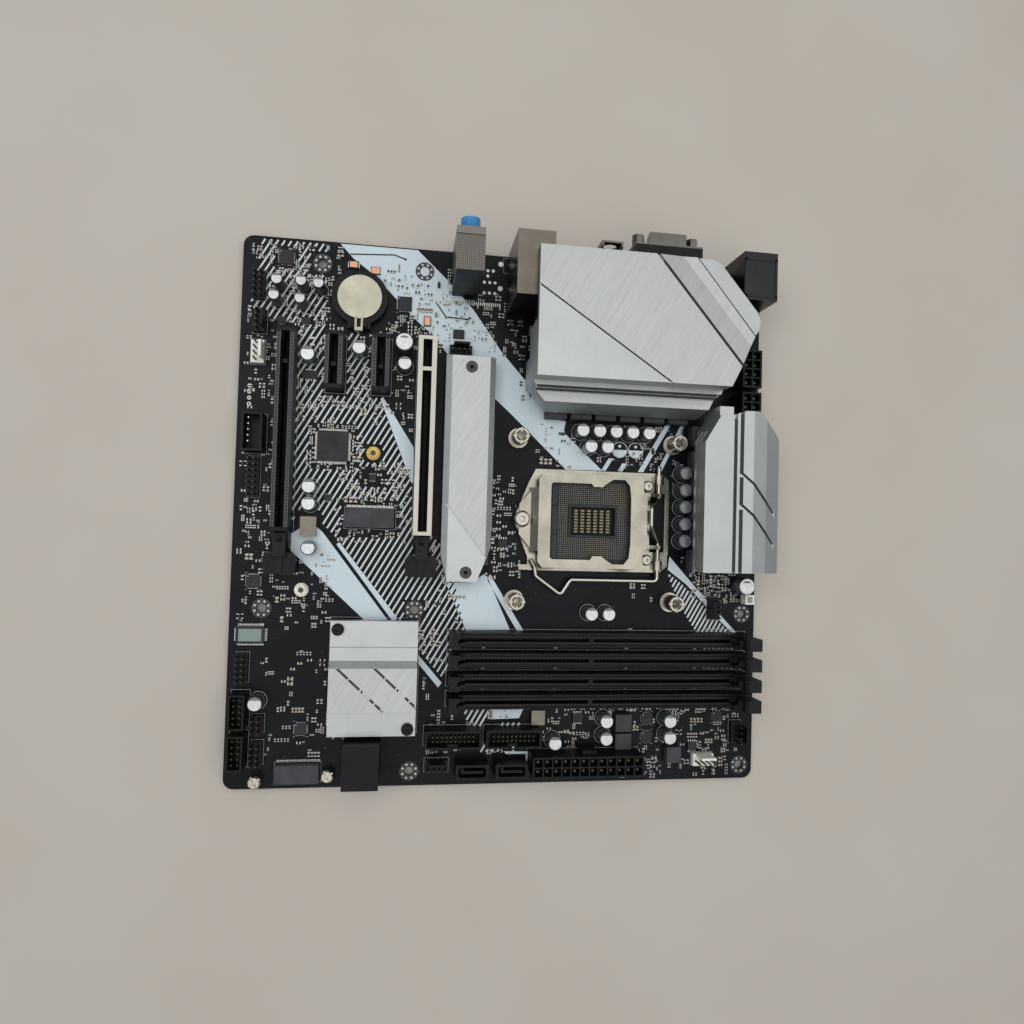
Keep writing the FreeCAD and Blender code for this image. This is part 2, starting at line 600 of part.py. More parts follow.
def make_chipset_push_pins():
    """Black push pins through the chipset heatsink and the board."""
    solids = []
    for x, y in PUSH_PINS:
        seat = 8.0 if y > 60 else 8.8
        end = -BOARD_T - 1.9
        solids.append(turned([
            (0, end), (1.0, end), (1.9, end + 1.0), (1.9, -BOARD_T), (1.42, -BOARD_T), (1.42, seat),
            (2.6, seat), (2.6, seat + 1.4), (2.1, seat + 2.0), (0.9, seat + 2.0), (0.9, seat + 1.3),
            (0, seat + 1.3),
        ], x, y))
    return group(solids)


# ---------------------------------------------------------------- expansion slots
def slot_body(x, length, grip):
    """Card-edge connector with its groove, key bar and bevelled mouth."""
    y1 = SLOT_REAR_Y
    y0 = y1 - length
    body = block(x, (y0 + y1) / 2, SLOT_W, length, 0, SLOT_H)
    key_y = y1 - SLOT_KEY
    parts = [box(x - CARD_GROOVE / 2, y0 + 1.6, 2.4, x + CARD_GROOVE / 2, key_y - 0.9, 20),
             box(x - CARD_GROOVE / 2, key_y + 0.9, 2.4, x + CARD_GROOVE / 2, y1 - 1.6, 20)]
    wide = CARD_GROOVE / 2 + 1.0
    mouth = prism_y([(x - CARD_GROOVE / 2, SLOT_H - 1.4), (x + CARD_GROOVE / 2, SLOT_H - 1.4),
                     (x + wide, SLOT_H + 0.1), (x - wide, SLOT_H + 0.1)], y0 + 1.6, y1 - 1.6)
    solids = [cut(body, parts + [mouth])]
    if grip:
        side = [(y0 - 7.5, 0), (y0, 0), (y0, 7.4), (y0 - 4.0, 7.4), (y0 - 7.5, 6.0)]
        cheeks = [prism_x(side, x - 3.7, x - 2.0), prism_x(side, x + 2.0, x + 3.7)]
        solids += cheeks + [box(x - 3.7, y0 - 9.0, 0, x + 3.7, y0, 1.0)]
        pivot = rod(x - 5, y0 - 5.0, LATCH_PIVOT_Z, 0.9 + HINGE_FIT, 10, (1, 0, 0))
        return cut(fuse(solids), [pivot])
    return solids[0]


LATCH_PIVOT_Z = 4.6
X16_FRONT_Y = SLOT_REAR_Y - X16_LENGTH


def make_x16_slot(x):
    """Full-length slot with cheeks for its latch."""
    return slot_body(x, X16_LENGTH, True)


def make_x1_slots():
    """The two short slots."""
    return group([slot_body(SLOT_X0 - SLOT_PITCH * i, X1_LENGTH, False) for i in (1, 2)])


def make_slot_armor():
    """Folded steel jacket round the graphics slot."""
    x = SLOT_X0
    y0, y1 = X16_FRONT_Y - 0.35, SLOT_REAR_Y + 0.35
    outer = box(x - SLOT_W / 2 - 0.4, y0, 1.2, x + SLOT_W / 2 + 0.4, y1, SLOT_H + 0.3)
    inner = box(x - SLOT_W / 2 - 0.05, y0 + 0.3, 0, x + SLOT_W / 2 + 0.05, y1 - 0.3, SLOT_H + 0.03)
    mouth = box(x - 2.0, y0 + 1.6, 5, x + 2.0, y1 - 1.6, 20)
    front = box(x - 2.6, y0 - 1, 0, x + 2.6, y0 + 0.6, 8.2)
    cheeks = box(x - SLOT_W / 2 - 0.05, y0 - 1, 0, x + SLOT_W / 2 + 0.05, y0 + 0.6, 8.2)
    windows = [box(x - 6, y0 + 9 + 14.4 * i, 3.0, x + 6, y0 + 15 + 14.4 * i, 4.6) for i in range(6)]
    feet = [box(x + side * (SLOT_W / 2 + 0.22) - 0.17, y0 + 4 + 16.2 * i, 0,
                x + side * (SLOT_W / 2 + 0.22) + 0.17, y0 + 6.4 + 16.2 * i, 1.2)
            for side in (-1, 1) for i in range(6)]
    return cut(fuse([outer] + feet), [inner, mouth, front, cheeks] + windows)


def make_x16_latch(x):
    """Card latch: hook in the slot's end, neck and wide paddle."""
    pivot_y = X16_FRONT_Y - 5.0
    z = LATCH_PIVOT_Z
    neck = box(x - 1.7, 103.4, z - 1.6, x + 1.7, pivot_y + 2.3, z + 1.6)
    hook = prism_x([(pivot_y - 1.0, z), (pivot_y + 2.3, z), (pivot_y + 3.4, z + 5.4),
                    (pivot_y + 1.4, z + 6.4), (pivot_y - 1.0, z + 3.2)], x - 0.9, x + 0.9)
    paddle = prism_z([(x - 5.6, 103.6), (x - 7.1, 101.6), (x - 6.8, 94.8), (x - 5.6, 94.0),
                      (x + 5.6, 94.0), (x + 6.8, 94.8), (x + 7.1, 101.6), (x + 5.6, 103.6)],
                     z + 0.4, z + 2.2)
    rib = box(x - 1.3, 94.6, z + 2.2, x + 1.3, 103.4, z + 3.0)
    saddle = box(x - 2.7, 102.0, z + 1.4, x + 2.7, X16_FRONT_Y - 9.2, z + 4.6)
    bridge = box(x - 2.7, X16_FRONT_Y - 9.4, z + 3.0, x + 2.7, X16_FRONT_Y - 0.9, z + 4.6)
    spine = box(x - 1.7, X16_FRONT_Y - 9.4, z, x + 1.7, X16_FRONT_Y - 2.7, z + 3.2)
    grips = [box(x + side * 4.0 - 1.7, 95.6 + 1.7 * i, z + 2.2, x + side * 4.0 + 1.7, 96.3 + 1.7 * i, z + 2.6)
             for side in (-1, 1) for i in range(4)]
    pins = rod(x - 2.9, pivot_y, z, 0.9, 5.8, (1, 0, 0))
    return fuse([neck, hook, paddle, rib, saddle, bridge, spine, pins] + grips)


# ---------------------------------------------------------------- memory slots
DIMM_KEY_X = 161.0


def make_dimm_slot(index):
    """Memory slot: grooved bar, fixed end tower and cheeks for the latch."""
    y = DIMM_Y0 - DIMM_PITCH * index
    bar = block((DIMM_X0 + 231.0) / 2, y, 231.0 - DIMM_X0, DIMM_W, 0, DIMM_H)
    tower = fuse([block(DIMM_X0 + 2.2, y, 4.4, DIMM_W, 0, 14.5), block(DIMM_X0 + 5.0, y, 4.0, 4.4, 0, 11.0)])
    end = block((230.0 + DIMM_X1) / 2, y, DIMM_X1 - 230.0, DIMM_W, 0, 8.8)
    solids = fuse([bar, tower, end])
    half = 0.85
    left, right = DIMM_X0 + 3.4, 229.6
    cutters = [box(left, y - half, 2.4, DIMM_KEY_X - 1.0, y + half, 20),
               box(DIMM_KEY_X + 1.0, y - half, 2.4, right, y + half, 20),
               box(229.0, y - 1.75, 1.2, DIMM_X1 + 1, y + 1.75, 20)]
    rail = [box(DIMM_X0 + 8, y + s * 2.15 - 0.35, DIMM_H - 0.7, 229.0, y + s * 2.15 + 0.35, 20)
            for s in (-1, 1)]
    pivot = rod(DIMM_PIVOT_X, y - 4, DIMM_PIVOT_Z, 1.0 + HINGE_FIT, 8, (0, 1, 0))
    return cut(solids, cutters + rail + [pivot])


def make_dimm_latch(index):
    """Ejector latch with its hook, thumb pad and pivot studs."""
    y = DIMM_Y0 - DIMM_PITCH * index
    top = DIMM_LATCH_H
    web = prism_y([
        (230.0, 2.0), (237.0, 1.8), (237.6, 4.0), (237.6, 12.0), (237.9, top - 1.2), (237.4, top),
        (231.4, top), (230.4, top - 1.4), (230.8, top - 5.0), (229.6, top - 6.6), (231.2, 11.0),
        (232.8, 9.0), (233.4, 4.6), (230.0, 3.4),
    ], y - 1.5, y + 1.5)
    head = prism_y([
        (231.6, 12.4), (237.6, 12.4), (237.9, top - 1.2), (237.4, top), (231.4, top), (230.4, top - 1.4),
        (230.8, top - 5.0),
    ], y - 2.7, y + 2.7)
    grips = [box(236.9, y - 2.0, top - 2.4 - 1.6 * i, 238.2, y + 2.0, top - 1.6 - 1.6 * i) for i in range(3)]
    studs = rod(DIMM_PIVOT_X, y - 2.7, DIMM_PIVOT_Z, 1.0, 5.4, (0, 1, 0))
    return fuse([web, head, studs] + grips)


# ---------------------------------------------------------------- battery
BATTERY_X, BATTERY_Y = 51.4, 218.6


def make_battery_holder():
    """Round coin-cell holder with a clip post."""
    x, y = BATTERY_X, BATTERY_Y
    ring = cut(fuse([rod(x, y, 0, 12.4, 3.6), box(x - 5, y - 14.2, 0, x + 5, y - 9, 3.6)]),
               [rod(x, y, 1.0, 10.15, 9)])
    catch = cut(box(x - 3.6, y - 13.6, 3.6, x + 3.6, y - 10.6, 5.0), [box(x - 2.0, y - 15, 3.6, x + 2.0, y - 9, 6)])
    gap = box(x - 3.2, y + 8, 1.0, x + 3.2, y + 14, 9)
    return cut(fuse([ring, catch]), [gap])


def make_battery_cell():
    """Lithium coin cell, 20 mm across and 3.2 mm thick."""
    profile = [(0, 1.05), (8.6, 1.05), (9.2, 1.5), (10.0, 1.5), (10.0, 4.0), (9.75, 4.25), (0, 4.25)]
    return turned(profile, BATTERY_X, BATTERY_Y)


def make_battery_clip():
    """Forked spring contact that hooks over the cell's edge."""
    x, y = BATTERY_X, BATTERY_Y
    arm = prism_x([(y - 15.6, 0), (y - 14.4, 0), (y - 14.4, 5.1), (y - 9.0, 4.35), (y - 9.0, 4.75),
                   (y - 15.6, 5.6)], x - 1.8, x + 1.8)
    return cut(arm, [box(x - 0.9, y - 14.0, 4.0, x + 0.9, y - 8.0, 6.0)])


# ---------------------------------------------------------------- rear connectors
AUDIO = (92.2, 223.5, 104.2, 34.5)      # left, front, right, height of each stack
AUDIO_PORTS_Z = (6.3, 17.3, 28.3)
AUDIO_R = 1.8
LAN = (118.4, 216.5, 134.7, 31.5)
USB = (137.6, 225.5, 152.2, 16.6)
PS2 = (221.6, 222.6, 237.5, 28.8)
VGA = (171.0, 229.0, 201.8, 28.6)


def make_audio_body():
    """Black bodies of the three stacked audio jacks, with open sockets."""
    x0, y0, x1, height = AUDIO
    xc = (x0 + x1) / 2
    joins = [0.0, 11.8, 22.8, height - 0.4]
    jacks = []
    for z, low, high in zip(AUDIO_PORTS_Z, joins, joins[1:]):
        body = box(x0 + 0.4, y0, low, x1 - 0.4, 241.0, high)
        barrel = rod(xc, 240.5, z, 3.1, 3.4, (0, 1, 0))
        jacks.append(cut(fuse([body, barrel]), [rod(xc, 229.0, z, AUDIO_R, 20, (0, 1, 0))]))
    return group(jacks)


def make_audio_collars():
    """Coloured collars round the three audio sockets."""
    xc = (AUDIO[0] + AUDIO[2]) / 2
    return group([cut(rod(xc, 241.9, z, 4.1, 5.3, (0, 1, 0)), [rod(xc, 240, z, 3.12, 10, (0, 1, 0))])
                  for z in AUDIO_PORTS_Z])


def make_audio_shield():
    """Folded shield over the audio stack's top and sides."""
    x0, y0, x1, height = AUDIO
    outer = box(x0, y0 + 0.2, 1.0, x1, 241.8, height)
    inner = box(x0 + 0.35, y0 - 1, 0, x1 - 0.35, 241.05, height - 0.35)
    band = box(x0, 238.6, height - 0.01, x1, 241.8, height + 0.45)
    xc = (x0 + x1) / 2
    holes = [rod(xc, 240, z, 4.2, 4, (0, 1, 0)) for z in AUDIO_PORTS_Z]
    front = prism_x([(y0 - 1, 0), (232, 0), (225.5, 29.0), (y0 - 1, 29.0)], x0 - 1, x1 + 1)
    return cut(fuse([outer, band]), [inner, front] + holes)


def shell(x0, y0, x1, height, front_open, openings, wall=0.35):
    """Thin metal box round a connector, open at the front and at the ports."""
    outer = box(x0, y0, 0.6, x1, REAR_FACE_Y, height)
    inner = box(x0 + wall, y0 - (1 if front_open else -wall), 0, x1 - wall, REAR_FACE_Y - wall, height - wall)
    ports = [box(a, REAR_FACE_Y - 1, c, b, REAR_FACE_Y + 2, d) for a, b, c, d in openings]
    return cut(outer, [inner] + ports)


def insert(x0, y0, x1, height, cavities, tongues, wall=0.4):
    """Plastic body in a shell, with a cavity and a tongue for each port."""
    body = box(x0 + wall, y0 + 0.1, 0, x1 - wall, REAR_FACE_Y - wall, height - wall)
    hollows = [box(a, REAR_FACE_Y - depth, c, b, REAR_FACE_Y + 1, d) for a, b, c, d, depth in cavities]
    bars = [box(a, REAR_FACE_Y - depth - 0.2, c, b, REAR_FACE_Y - 1.5, d) for a, b, c, d, depth in tongues]
    return fuse([cut(body, hollows)] + bars)


USB_W, USB_H = 13.1, 5.6
RJ45 = (11.9, 8.2)


def usb_port(xc, z):
    """Opening, cavity and tongue of one type A port, by its centre and lower edge."""
    opening = (xc - USB_W / 2, xc + USB_W / 2, z, z + USB_H)
    tongue = (xc - 5.6, xc + 5.6, z + USB_H - 2.6, z + USB_H - 0.9, 12.0)
    return opening, opening + (12.0,), tongue


def make_lan_usb():
    """Network jack over two stacked ports: shell and plastic insert."""
    x0, y0, x1, height = LAN
    xc = (x0 + x1) / 2
    jack = (xc - RJ45[0] / 2, xc + RJ45[0] / 2, 20.2, 20.2 + RJ45[1])
    openings, cavities, tongues = [jack], [jack + (13.0,)], []
    for z in (2.6, 10.6):
        opening, cavity, tongue = usb_port(xc, z)
        openings.append(opening)
        cavities.append(cavity)
        tongues.append(tongue)
    return shell(x0, y0, x1, height, True, openings), insert(x0, y0, x1, height, cavities, tongues)


def make_usb_stack():
    """Two stacked type A ports: shell and plastic insert."""
    x0, y0, x1, height = USB
    xc = (x0 + x1) / 2
    ports = [usb_port(xc, z) for z in (2.0, 9.6)]
    tin = shell(x0, y0, x1, height, True, [p[0] for p in ports])
    return tin, insert(x0, y0, x1, height, [p[1] for p in ports], [p[2] for p in ports])


def make_ps2_stack():
    """Round keyboard and mouse port over two type A ports: shell and insert."""
    x0, y0, x1, height = PS2
    xc = (x0 + x1) / 2
    ports = [usb_port(xc, z) for z in (1.8, 8.6)]
    tin = shell(x0, y0, x1, height, False, [p[0] for p in ports])
    tin = cut(tin, [rod(xc, 240, 22.0, 5.2, 8, (0, 1, 0))])
    plastic = insert(x0, y0 + 0.5, x1, height, [p[1] for p in ports], [p[2] for p in ports])
    barrel = rod(xc, REAR_FACE_Y - 2, 22.0, 5.1, 2.4, (0, 1, 0))
    plastic = fuse([plastic, barrel])
    ring = cut(rod(xc, 237.0, 22.0, 4.5, 9, (0, 1, 0)), [box(xc - 1.3, 236, 20.8, xc + 1.3, 250, 23.2)])
    return tin, cut(plastic, [ring])


def make_vga_housing():
    """Black housing that carries the display connector over a second port."""
    x0, y0, x1, height = VGA
    upper = box(x0, 229.0, height - 12.6, x1, REAR_FACE_Y - 0.8, height)
    lower = box(x0 + 4.6, 229.0, 8.3, x1 - 4.6, 243.0, height - 12.6)
    legs = [box(x, 229.0, 0, x + 4.4, 240.0, height - 12.6) for x in (x0, x1 - 4.4)]
    recess = box(x0 + 2.5, 228, height - 3.0, x1 - 2.5, 231.5, height + 1)
    return cut(fuse([upper, lower] + legs), [recess])


def d_outline(xc, zc, width, height, slant):
    """D-shaped outline in X, Z, wider at the top."""
    w, h = width / 2, height / 2
    return [(xc - w, zc + h), (xc + w, zc + h), (xc + w - slant, zc - h), (xc - w + slant, zc - h)]


def make_vga_connector():
    """Display connector: flange, D-shaped shell, insulator and two jack screws."""
    x0, y0, x1, height = VGA
    xc, zc = (x0 + x1) / 2, height - 6.3
    flange = box(x0, REAR_FACE_Y - 0.8, zc - 6.2, x1, REAR_FACE_Y, zc + 6.2)
    rim = prism_y(d_outline(xc, zc, 17.0, 8.4, 1.4), REAR_FACE_Y - 0.1, REAR_FACE_Y + 5.8)
    hollow = prism_y(d_outline(xc, zc, 16.0, 7.4, 1.3), REAR_FACE_Y + 0.4, REAR_FACE_Y + 7)
    solids = [cut(rim, [hollow]), flange]
    nuts = []
    for side in (-1, 1):
        x = xc + side * 12.5
        points = [(x + 2.75 * math.cos(math.radians(60 * k)), zc + 2.75 * math.sin(math.radians(60 * k)))
                  for k in range(6)]
        nuts.append(prism_y(points, REAR_FACE_Y, REAR_FACE_Y + 5.2))
    threads = [rod(xc + side * 12.5, REAR_FACE_Y - 0.5, zc, 1.2, 8, (0, 1, 0)) for side in (-1, 1)]
    return cut(fuse(solids + nuts), threads)


HDMI_W, HDMI_H = 15.0, 5.6


def make_hdmi_port():
    """Digital display port under the D-shaped one."""
    xc = (VGA[0] + VGA[2]) / 2
    x0, x1 = xc - HDMI_W / 2, xc + HDMI_W / 2
    tin = cut(box(x0, 231.0, 1.2, x1, REAR_FACE_Y, 1.2 + HDMI_H + 0.9),
              [prism_y([(x0 + 0.4, 7.2), (x1 - 0.4, 7.2), (x1 - 0.4, 4.4), (x1 - 2.0, 2.8), (x1 - 2.0, 1.7),
                        (x0 + 2.0, 1.7), (x0 + 2.0, 2.8), (x0 + 0.4, 4.4)], 233.0, 250)])
    tongue = box(xc - 5.6, 232.8, 4.4, xc + 5.6, 242.5, 5.6)
    feet = [box(x, y, 0, x + 0.5, y + 2.4, 1.3) for x in (x0, x1 - 0.5) for y in (232.5, 240.0)]
    return fuse([tin, tongue] + feet)


ANTENNA_X = 160.8
ANTENNA_PORTS_Z = (8.6, 21.8)
ANTENNA_R = 3.25


def make_antenna_bracket():
    """Folded bracket with two aerial holes."""
    x = ANTENNA_X
    wall = box(x - 4.8, 243.2, 0.8, x + 4.8, 244.0, 27.6)
    sides = [prism_x([(236.4, 0), (239.4, 0), (239.4, 6), (243.4, 14), (243.4, 27.6), (241.6, 27.6),
                      (236.4, 10)], x + s * 4.4 - 0.4, x + s * 4.4 + 0.4) for s in (-1, 1)]
    holes = [rod(x, 242, z, ANTENNA_R, 4, (0, 1, 0)) for z in ANTENNA_PORTS_Z]
    return cut(fuse([wall] + sides), holes)


# ---------------------------------------------------------------- internal connectors
POWER_PITCH = 4.2


def power_header(x0, y0, columns, rows, height=12.8):
    """Power header with square pin cavities, columns along X and rows along Y."""
    margin = 0.5
    x1, y1 = x0 + columns * POWER_PITCH + 2 * margin, y0 + rows * POWER_PITCH + 2 * margin
    body = box(x0, y0, 0, x1, y1, height)
    cells = []
    for i in range(columns):
        for j in range(rows):
            cx = x0 + margin + (i + 0.5) * POWER_PITCH
            cy = y0 + margin + (j + 0.5) * POWER_PITCH
            cells.append(block(cx, cy, 3.5, 3.5, 3.6, height + 1))
    return cut(body, cells), cells


def power_pins(cells):
    """Pins standing in a power header's cavities."""
    return [block(c.CenterOfMass.x, c.CenterOfMass.y, 1.1, 1.1, 3.6, 10.6) for c in cells]


ATX_ORIGIN = (134.4, 5.9)
EPS8_ORIGIN = (229.7, 186.6)
EPS4_ORIGIN = (229.7, 175.0)


def make_power_connectors():
    """The 24-pin board connector and the two processor connectors, with their pins."""
    atx, atx_cells = power_header(*ATX_ORIGIN, 12, 2)
    eps8, eps8_cells = power_header(*EPS8_ORIGIN, 2, 4)
    eps4, eps4_cells = power_header(*EPS4_ORIGIN, 2, 2)
    latch = box(157.5, 15.0, 0, 164.5, 16.9, 9.4)
    hooks = [box(238.8, y - 2.2, 0, 240.6, y + 2.2, 9.4) for y in (195.5, 179.7)]
    pins = power_pins(atx_cells + eps8_cells + eps4_cells)
    return fuse([atx, latch]), group([fuse([eps8, hooks[0]]), fuse([eps4, hooks[1]])]), group(pins)


def sata_upright(x0, y0):
    """Upright drive port with an L-shaped tongue."""
    body = box(x0, y0, 0, x0 + 14.8, y0 + 6.6, 8.6)
    hollow = rounded_rect(x0 + 1.3, y0 + 1.1, x0 + 13.5, y0 + 5.5, 1.0, 2.0, 12)
    tongue = fuse([box(x0 + 2.4, y0 + 2.6, 1.9, x0 + 12.4, y0 + 3.8, 7.9),
                   box(x0 + 2.4, y0 + 2.6, 1.9, x0 + 3.6, y0 + 5.0, 7.9)])
    return fuse([cut(body, [hollow]), tongue])


def make_sata_upright():
    """The two upright drive ports."""
    return group([sata_upright(100.4, 4.6), sata_upright(118.2, 4.6)])


def make_sata_angled():
    """Two drive ports stacked and facing the front edge."""
    x0, x1 = 51.4, 66.9
    body = box(x0, 3.5, 0, x1, 22.6, 16.0)
    hollows = [box(x0 + 1.6, 2.8, z, x1 - 1.6, 10.5, z + 4.4) for z in (2.4, 9.8)]
    tongues = [box(x0 + 2.9, 4.3, z + 1.5, x1 - 2.9, 10.6, z + 2.7) for z in (2.4, 9.8)]
    return fuse([cut(body, hollows)] + tongues)


def shrouded(x0, y0, x1, y1, height, wall=0.9):
    """Open-topped header shroud."""
    return cut(box(x0, y0, 0, x1, y1, height), [box(x0 + wall, y0 + wall, 1.6, x1 - wall, y1 - wall, 30)])


USB3_HEADERS = [(86.4, 18.3), (113.7, 18.3)]
USB2_HEADERS = [(2.7, 27.6), (2.7, 10.2)]


def make_usb3_headers():
    """The two shrouded 19-pin headers."""
    solids = []
    for x0, y0 in USB3_HEADERS:
        walls = shrouded(x0, y0, x0 + 25.0, y0 + 8.0, 9.0)
        solids.append(cut(walls, [box(x0 + 10.2, y0 - 1, 4, x0 + 14.8, y0 + 1.2, 12)]))
    return group(solids)


def make_usb2_headers():
    """The two shrouded nine-pin headers."""
    return group([shrouded(x0, y0, x0 + 6.8, y0 + 15.0, 9.0) for x0, y0 in USB2_HEADERS])


# header base: left, front, columns along X, rows along Y
PIN_HEADERS = [
    (11.2, 10.9, 2, 4), (11.2, 24.9, 2, 3), (3.9, 46.6, 2, 5), (5.5, 127.6, 2, 7), (5.1, 214.9, 2, 5),
]
# base's left and front corner, number of pins, which way the row runs
FAN_HEADERS = [
    (5.4, 200.4, 4, "y"), (92.4, 194.6, 4, "x"), (87.0, 6.2, 4, "x"), (219.6, 76.2, 4, "y2"),
    (232.2, 17.2, 4, "y"),
]
RGB_HEADERS = [(5.2, 186.6, 4, "y"), (213.3, 6.9, 4, "x")]
PITCH = 2.54


def make_pin_headers():
    """Bases of the open pin headers."""
    return group([box(x, y, 0, x + nx * PITCH, y + ny * PITCH, 2.5) for x, y, nx, ny in PIN_HEADERS])


def polarised(x, y, count, run):
    """Fan header base with its back plate, and its pin places."""
    length = count * PITCH
    if run == "x":
        base = fuse([box(x, y, 0, x + length, y + 5.6, 2.5), box(x + 1.5, y + 4.6, 0, x + length - 1.5, y + 5.6, 9.5)])
        return base, [(x + (i + 0.5) * PITCH, y + 2.4) for i in range(count)]
    plate_x = x if run == "y2" else x + 4.6
    base = fuse([box(x, y, 0, x + 5.6, y + length, 2.5),
                 box(plate_x, y + 1.5, 0, plate_x + 1.0, y + length - 1.5, 9.5)])
    pin_x = x + (3.2 if run == "y2" else 2.4)
    return base, [(pin_x, y + (i + 0.5) * PITCH) for i in range(count)]


def make_fan_headers():
    """Four-pin fan headers."""
    return group([polarised(*h)[0] for h in FAN_HEADERS])


def make_light_headers():
    """White light-strip headers."""
    return group([polarised(*h)[0] for h in RGB_HEADERS])


def make_header_pins():
    """Square pins of every open and shrouded header."""
    places = []
    for x, y, nx, ny in PIN_HEADERS:
        places += [(x + (i + 0.5) * PITCH, y + (j + 0.5) * PITCH, 8.5) for i in range(nx) for j in range(ny)]
    for header in FAN_HEADERS + RGB_HEADERS:
        places += [(x, y, 8.8) for x, y in polarised(*header)[1]]
    for x0, y0 in USB2_HEADERS:
        places += [(x0 + 2.1 + PITCH * i, y0 + 2.4 + PITCH * j, 7.4) for i in range(2) for j in range(5)]
    for x0, y0 in USB3_HEADERS:
        places += [(x0 + 3.5 + 2.0 * i, y0 + 3.0 + 2.0 * j, 7.4) for i in range(10) for j in range(2)]
    return group([block(x, y, 0.64, 0.64, 2.5 if z > 8 else 1.6, z) for x, y, z in places])


def make_m2_sockets():
    """Low card-edge sockets: wireless, second drive and the one under the heatsink."""
    solids = []
    for x0, y0, x1, y1, mouth in [(48.3, 115.4, 69.7, 124.0, 1), (91.6, 99.9, 112.6, 106.3, 1),
                                  (22.0, 2.9, 40.8, 10.9, 1)]:
        body = box(x0, y0, 0, x1, y1, 4.0)
        edge = y0 if mouth < 0 else y1
        slot = box(x0 + 1.2, edge - 3.2, 1.5, x1 - 1.2, edge + 3.2, 2.7)
        solids.append(cut(body, [slot]))
    return group(solids)


# ---------------------------------------------------------------- board components
def can(x, y, radius, height):
    """Capacitor can with a softened top edge."""
    return turned([(0, 0), (radius, 0), (radius, height - 0.4), (radius - 0.4, height), (0, height)], x, y)


POLYMER_R, POLYMER_H = 3.15, 8.0
POLYMER_CAPS = [
    (30.1, 190.8), (52.1, 195.0), (72.3, 189.2), (32.6, 132.8), (32.7, 125.3), (33.3, 105.9),
    (13.5, 38.5), (145.3, 19.9), (169.2, 29.5), (169.2, 21.6), (199.7, 29.3), (199.7, 21.7),
    (160.8, 78.6), (169.0, 78.6), (158.6, 156.0), (166.5, 156.0),
]
POLYMER_CAPS += [(154.6 + 7.95 * i, 163.3) for i in range(5)]
POLYMER_CAPS += [(205.0, 145.3 - 8.0 * i) for i in range(5)]
LARGE_CAPS = [(71.8, 198.6), (235.9, 92.6)]
AUDIO_CAPS = [(16.5, 221.7), (26.7, 221.8), (34.1, 221.3), (15.5, 214.8), (26.4, 214.1)]


def make_polymer_caps():
    """Solid polymer capacitors."""
    small = [can(x, y, POLYMER_R, POLYMER_H) for x, y in POLYMER_CAPS]
    return group(small + [can(x, y, 4.0, 8.6) for x, y in LARGE_CAPS])


def make_audio_caps():
    """Electrolytic capacitors of the audio section."""
    return group([can(x, y, 2.5, 11.0) for x, y in AUDIO_CAPS])


# centre, size along X and Y, height
CHIPS = [
    (18.6, 235.0, 6.5, 6.5, 1.0), (71.3, 217.9, 6.5, 6.5, 0.9), (96.3, 205.6, 5.0, 4.0, 1.5),
    (17.5, 206.6, 4.0, 3.0, 1.2), (28.0, 207.1, 4.0, 3.0, 1.2), (59.5, 138.1, 3.0, 3.0, 0.9),
    (40.3, 128.3, 3.0, 3.0, 0.9), (41.6, 151.4, 13.6, 13.6, 1.6), (9.4, 67.2, 12.0, 7.6, 2.2),
    (32.0, 25.8, 5.4, 5.4, 0.9), (9.6, 90.5, 6.0, 6.0, 0.9), (30.6, 182.9, 6.6, 3.6, 1.7),
    (157.0, 29.6, 4.6, 4.2, 1.4), (190.6, 29.0, 5.2, 5.2, 1.0), (190.6, 20.4, 5.2, 5.2, 1.0),
    (213.4, 15.8, 4.0, 4.0, 1.0), (225.6, 29.6, 5.0, 5.0, 1.0), (48.0, 234.0, 4.4, 3.2, 1.1),
    (57.8, 232.0, 4.4, 3.2, 1.1), (81.8, 210.6, 3.2, 4.4, 1.1), (119.4, 110.0, 4.2, 4.0, 1.0),
]


def make_chips():
    """Moulded chip packages spread over the board, and the chipset with its bare die."""
    moulded = [block(x, y, lx, ly, 0, h) for x, y, lx, ly, h in CHIPS]
    chipset = fuse([block(63.0, 49.5, 25.0, 24.0, 0, 1.4), block(63.0, 49.5, 10.5, 8.6, 1.4, 2.6)])
    return group(moulded + [chipset])


# centre, size along X and Y, height
MEMORY_CHOKES = [(178.4, 27.7, 7.6, 7.8, 4.0), (178.4, 19.2, 7.6, 7.2, 4.0), (203.2, 12.6, 7.0, 7.2, 4.0)]
SMALL_INDUCTORS = [(32.4, 115.3, 7.0, 8.6, 3.0), (138.0, 30.4, 6.2, 6.6, 3.0)]


def make_memory_chokes():
    """Grey moulded chokes of the memory regulator."""
    return group([block(x, y, lx, ly, 0, h) for x, y, lx, ly, h in MEMORY_CHOKES])


def make_small_inductors():
    """Metal-topped power inductors."""
    return group([block(x, y, lx, ly, 0, h) for x, y, lx, ly, h in SMALL_INDUCTORS])


def make_black_headers():
    """Every black internal header: shrouded, open and fan headers."""
    panel = shrouded(3.8, 147.2, 12.4, 163.8, 8.6)
    return group([make_usb3_headers(), make_usb2_headers(), make_pin_headers(), make_fan_headers(), panel])


def make_white_headers():
    """White light-strip headers and the small two-pin socket."""
    socket = cut(box(237.0, 83.8, 0, 241.4, 88.3, 5.0), [box(237.8, 84.6, 1, 240.6, 87.5, 9)])
    return group([make_light_headers(), socket])


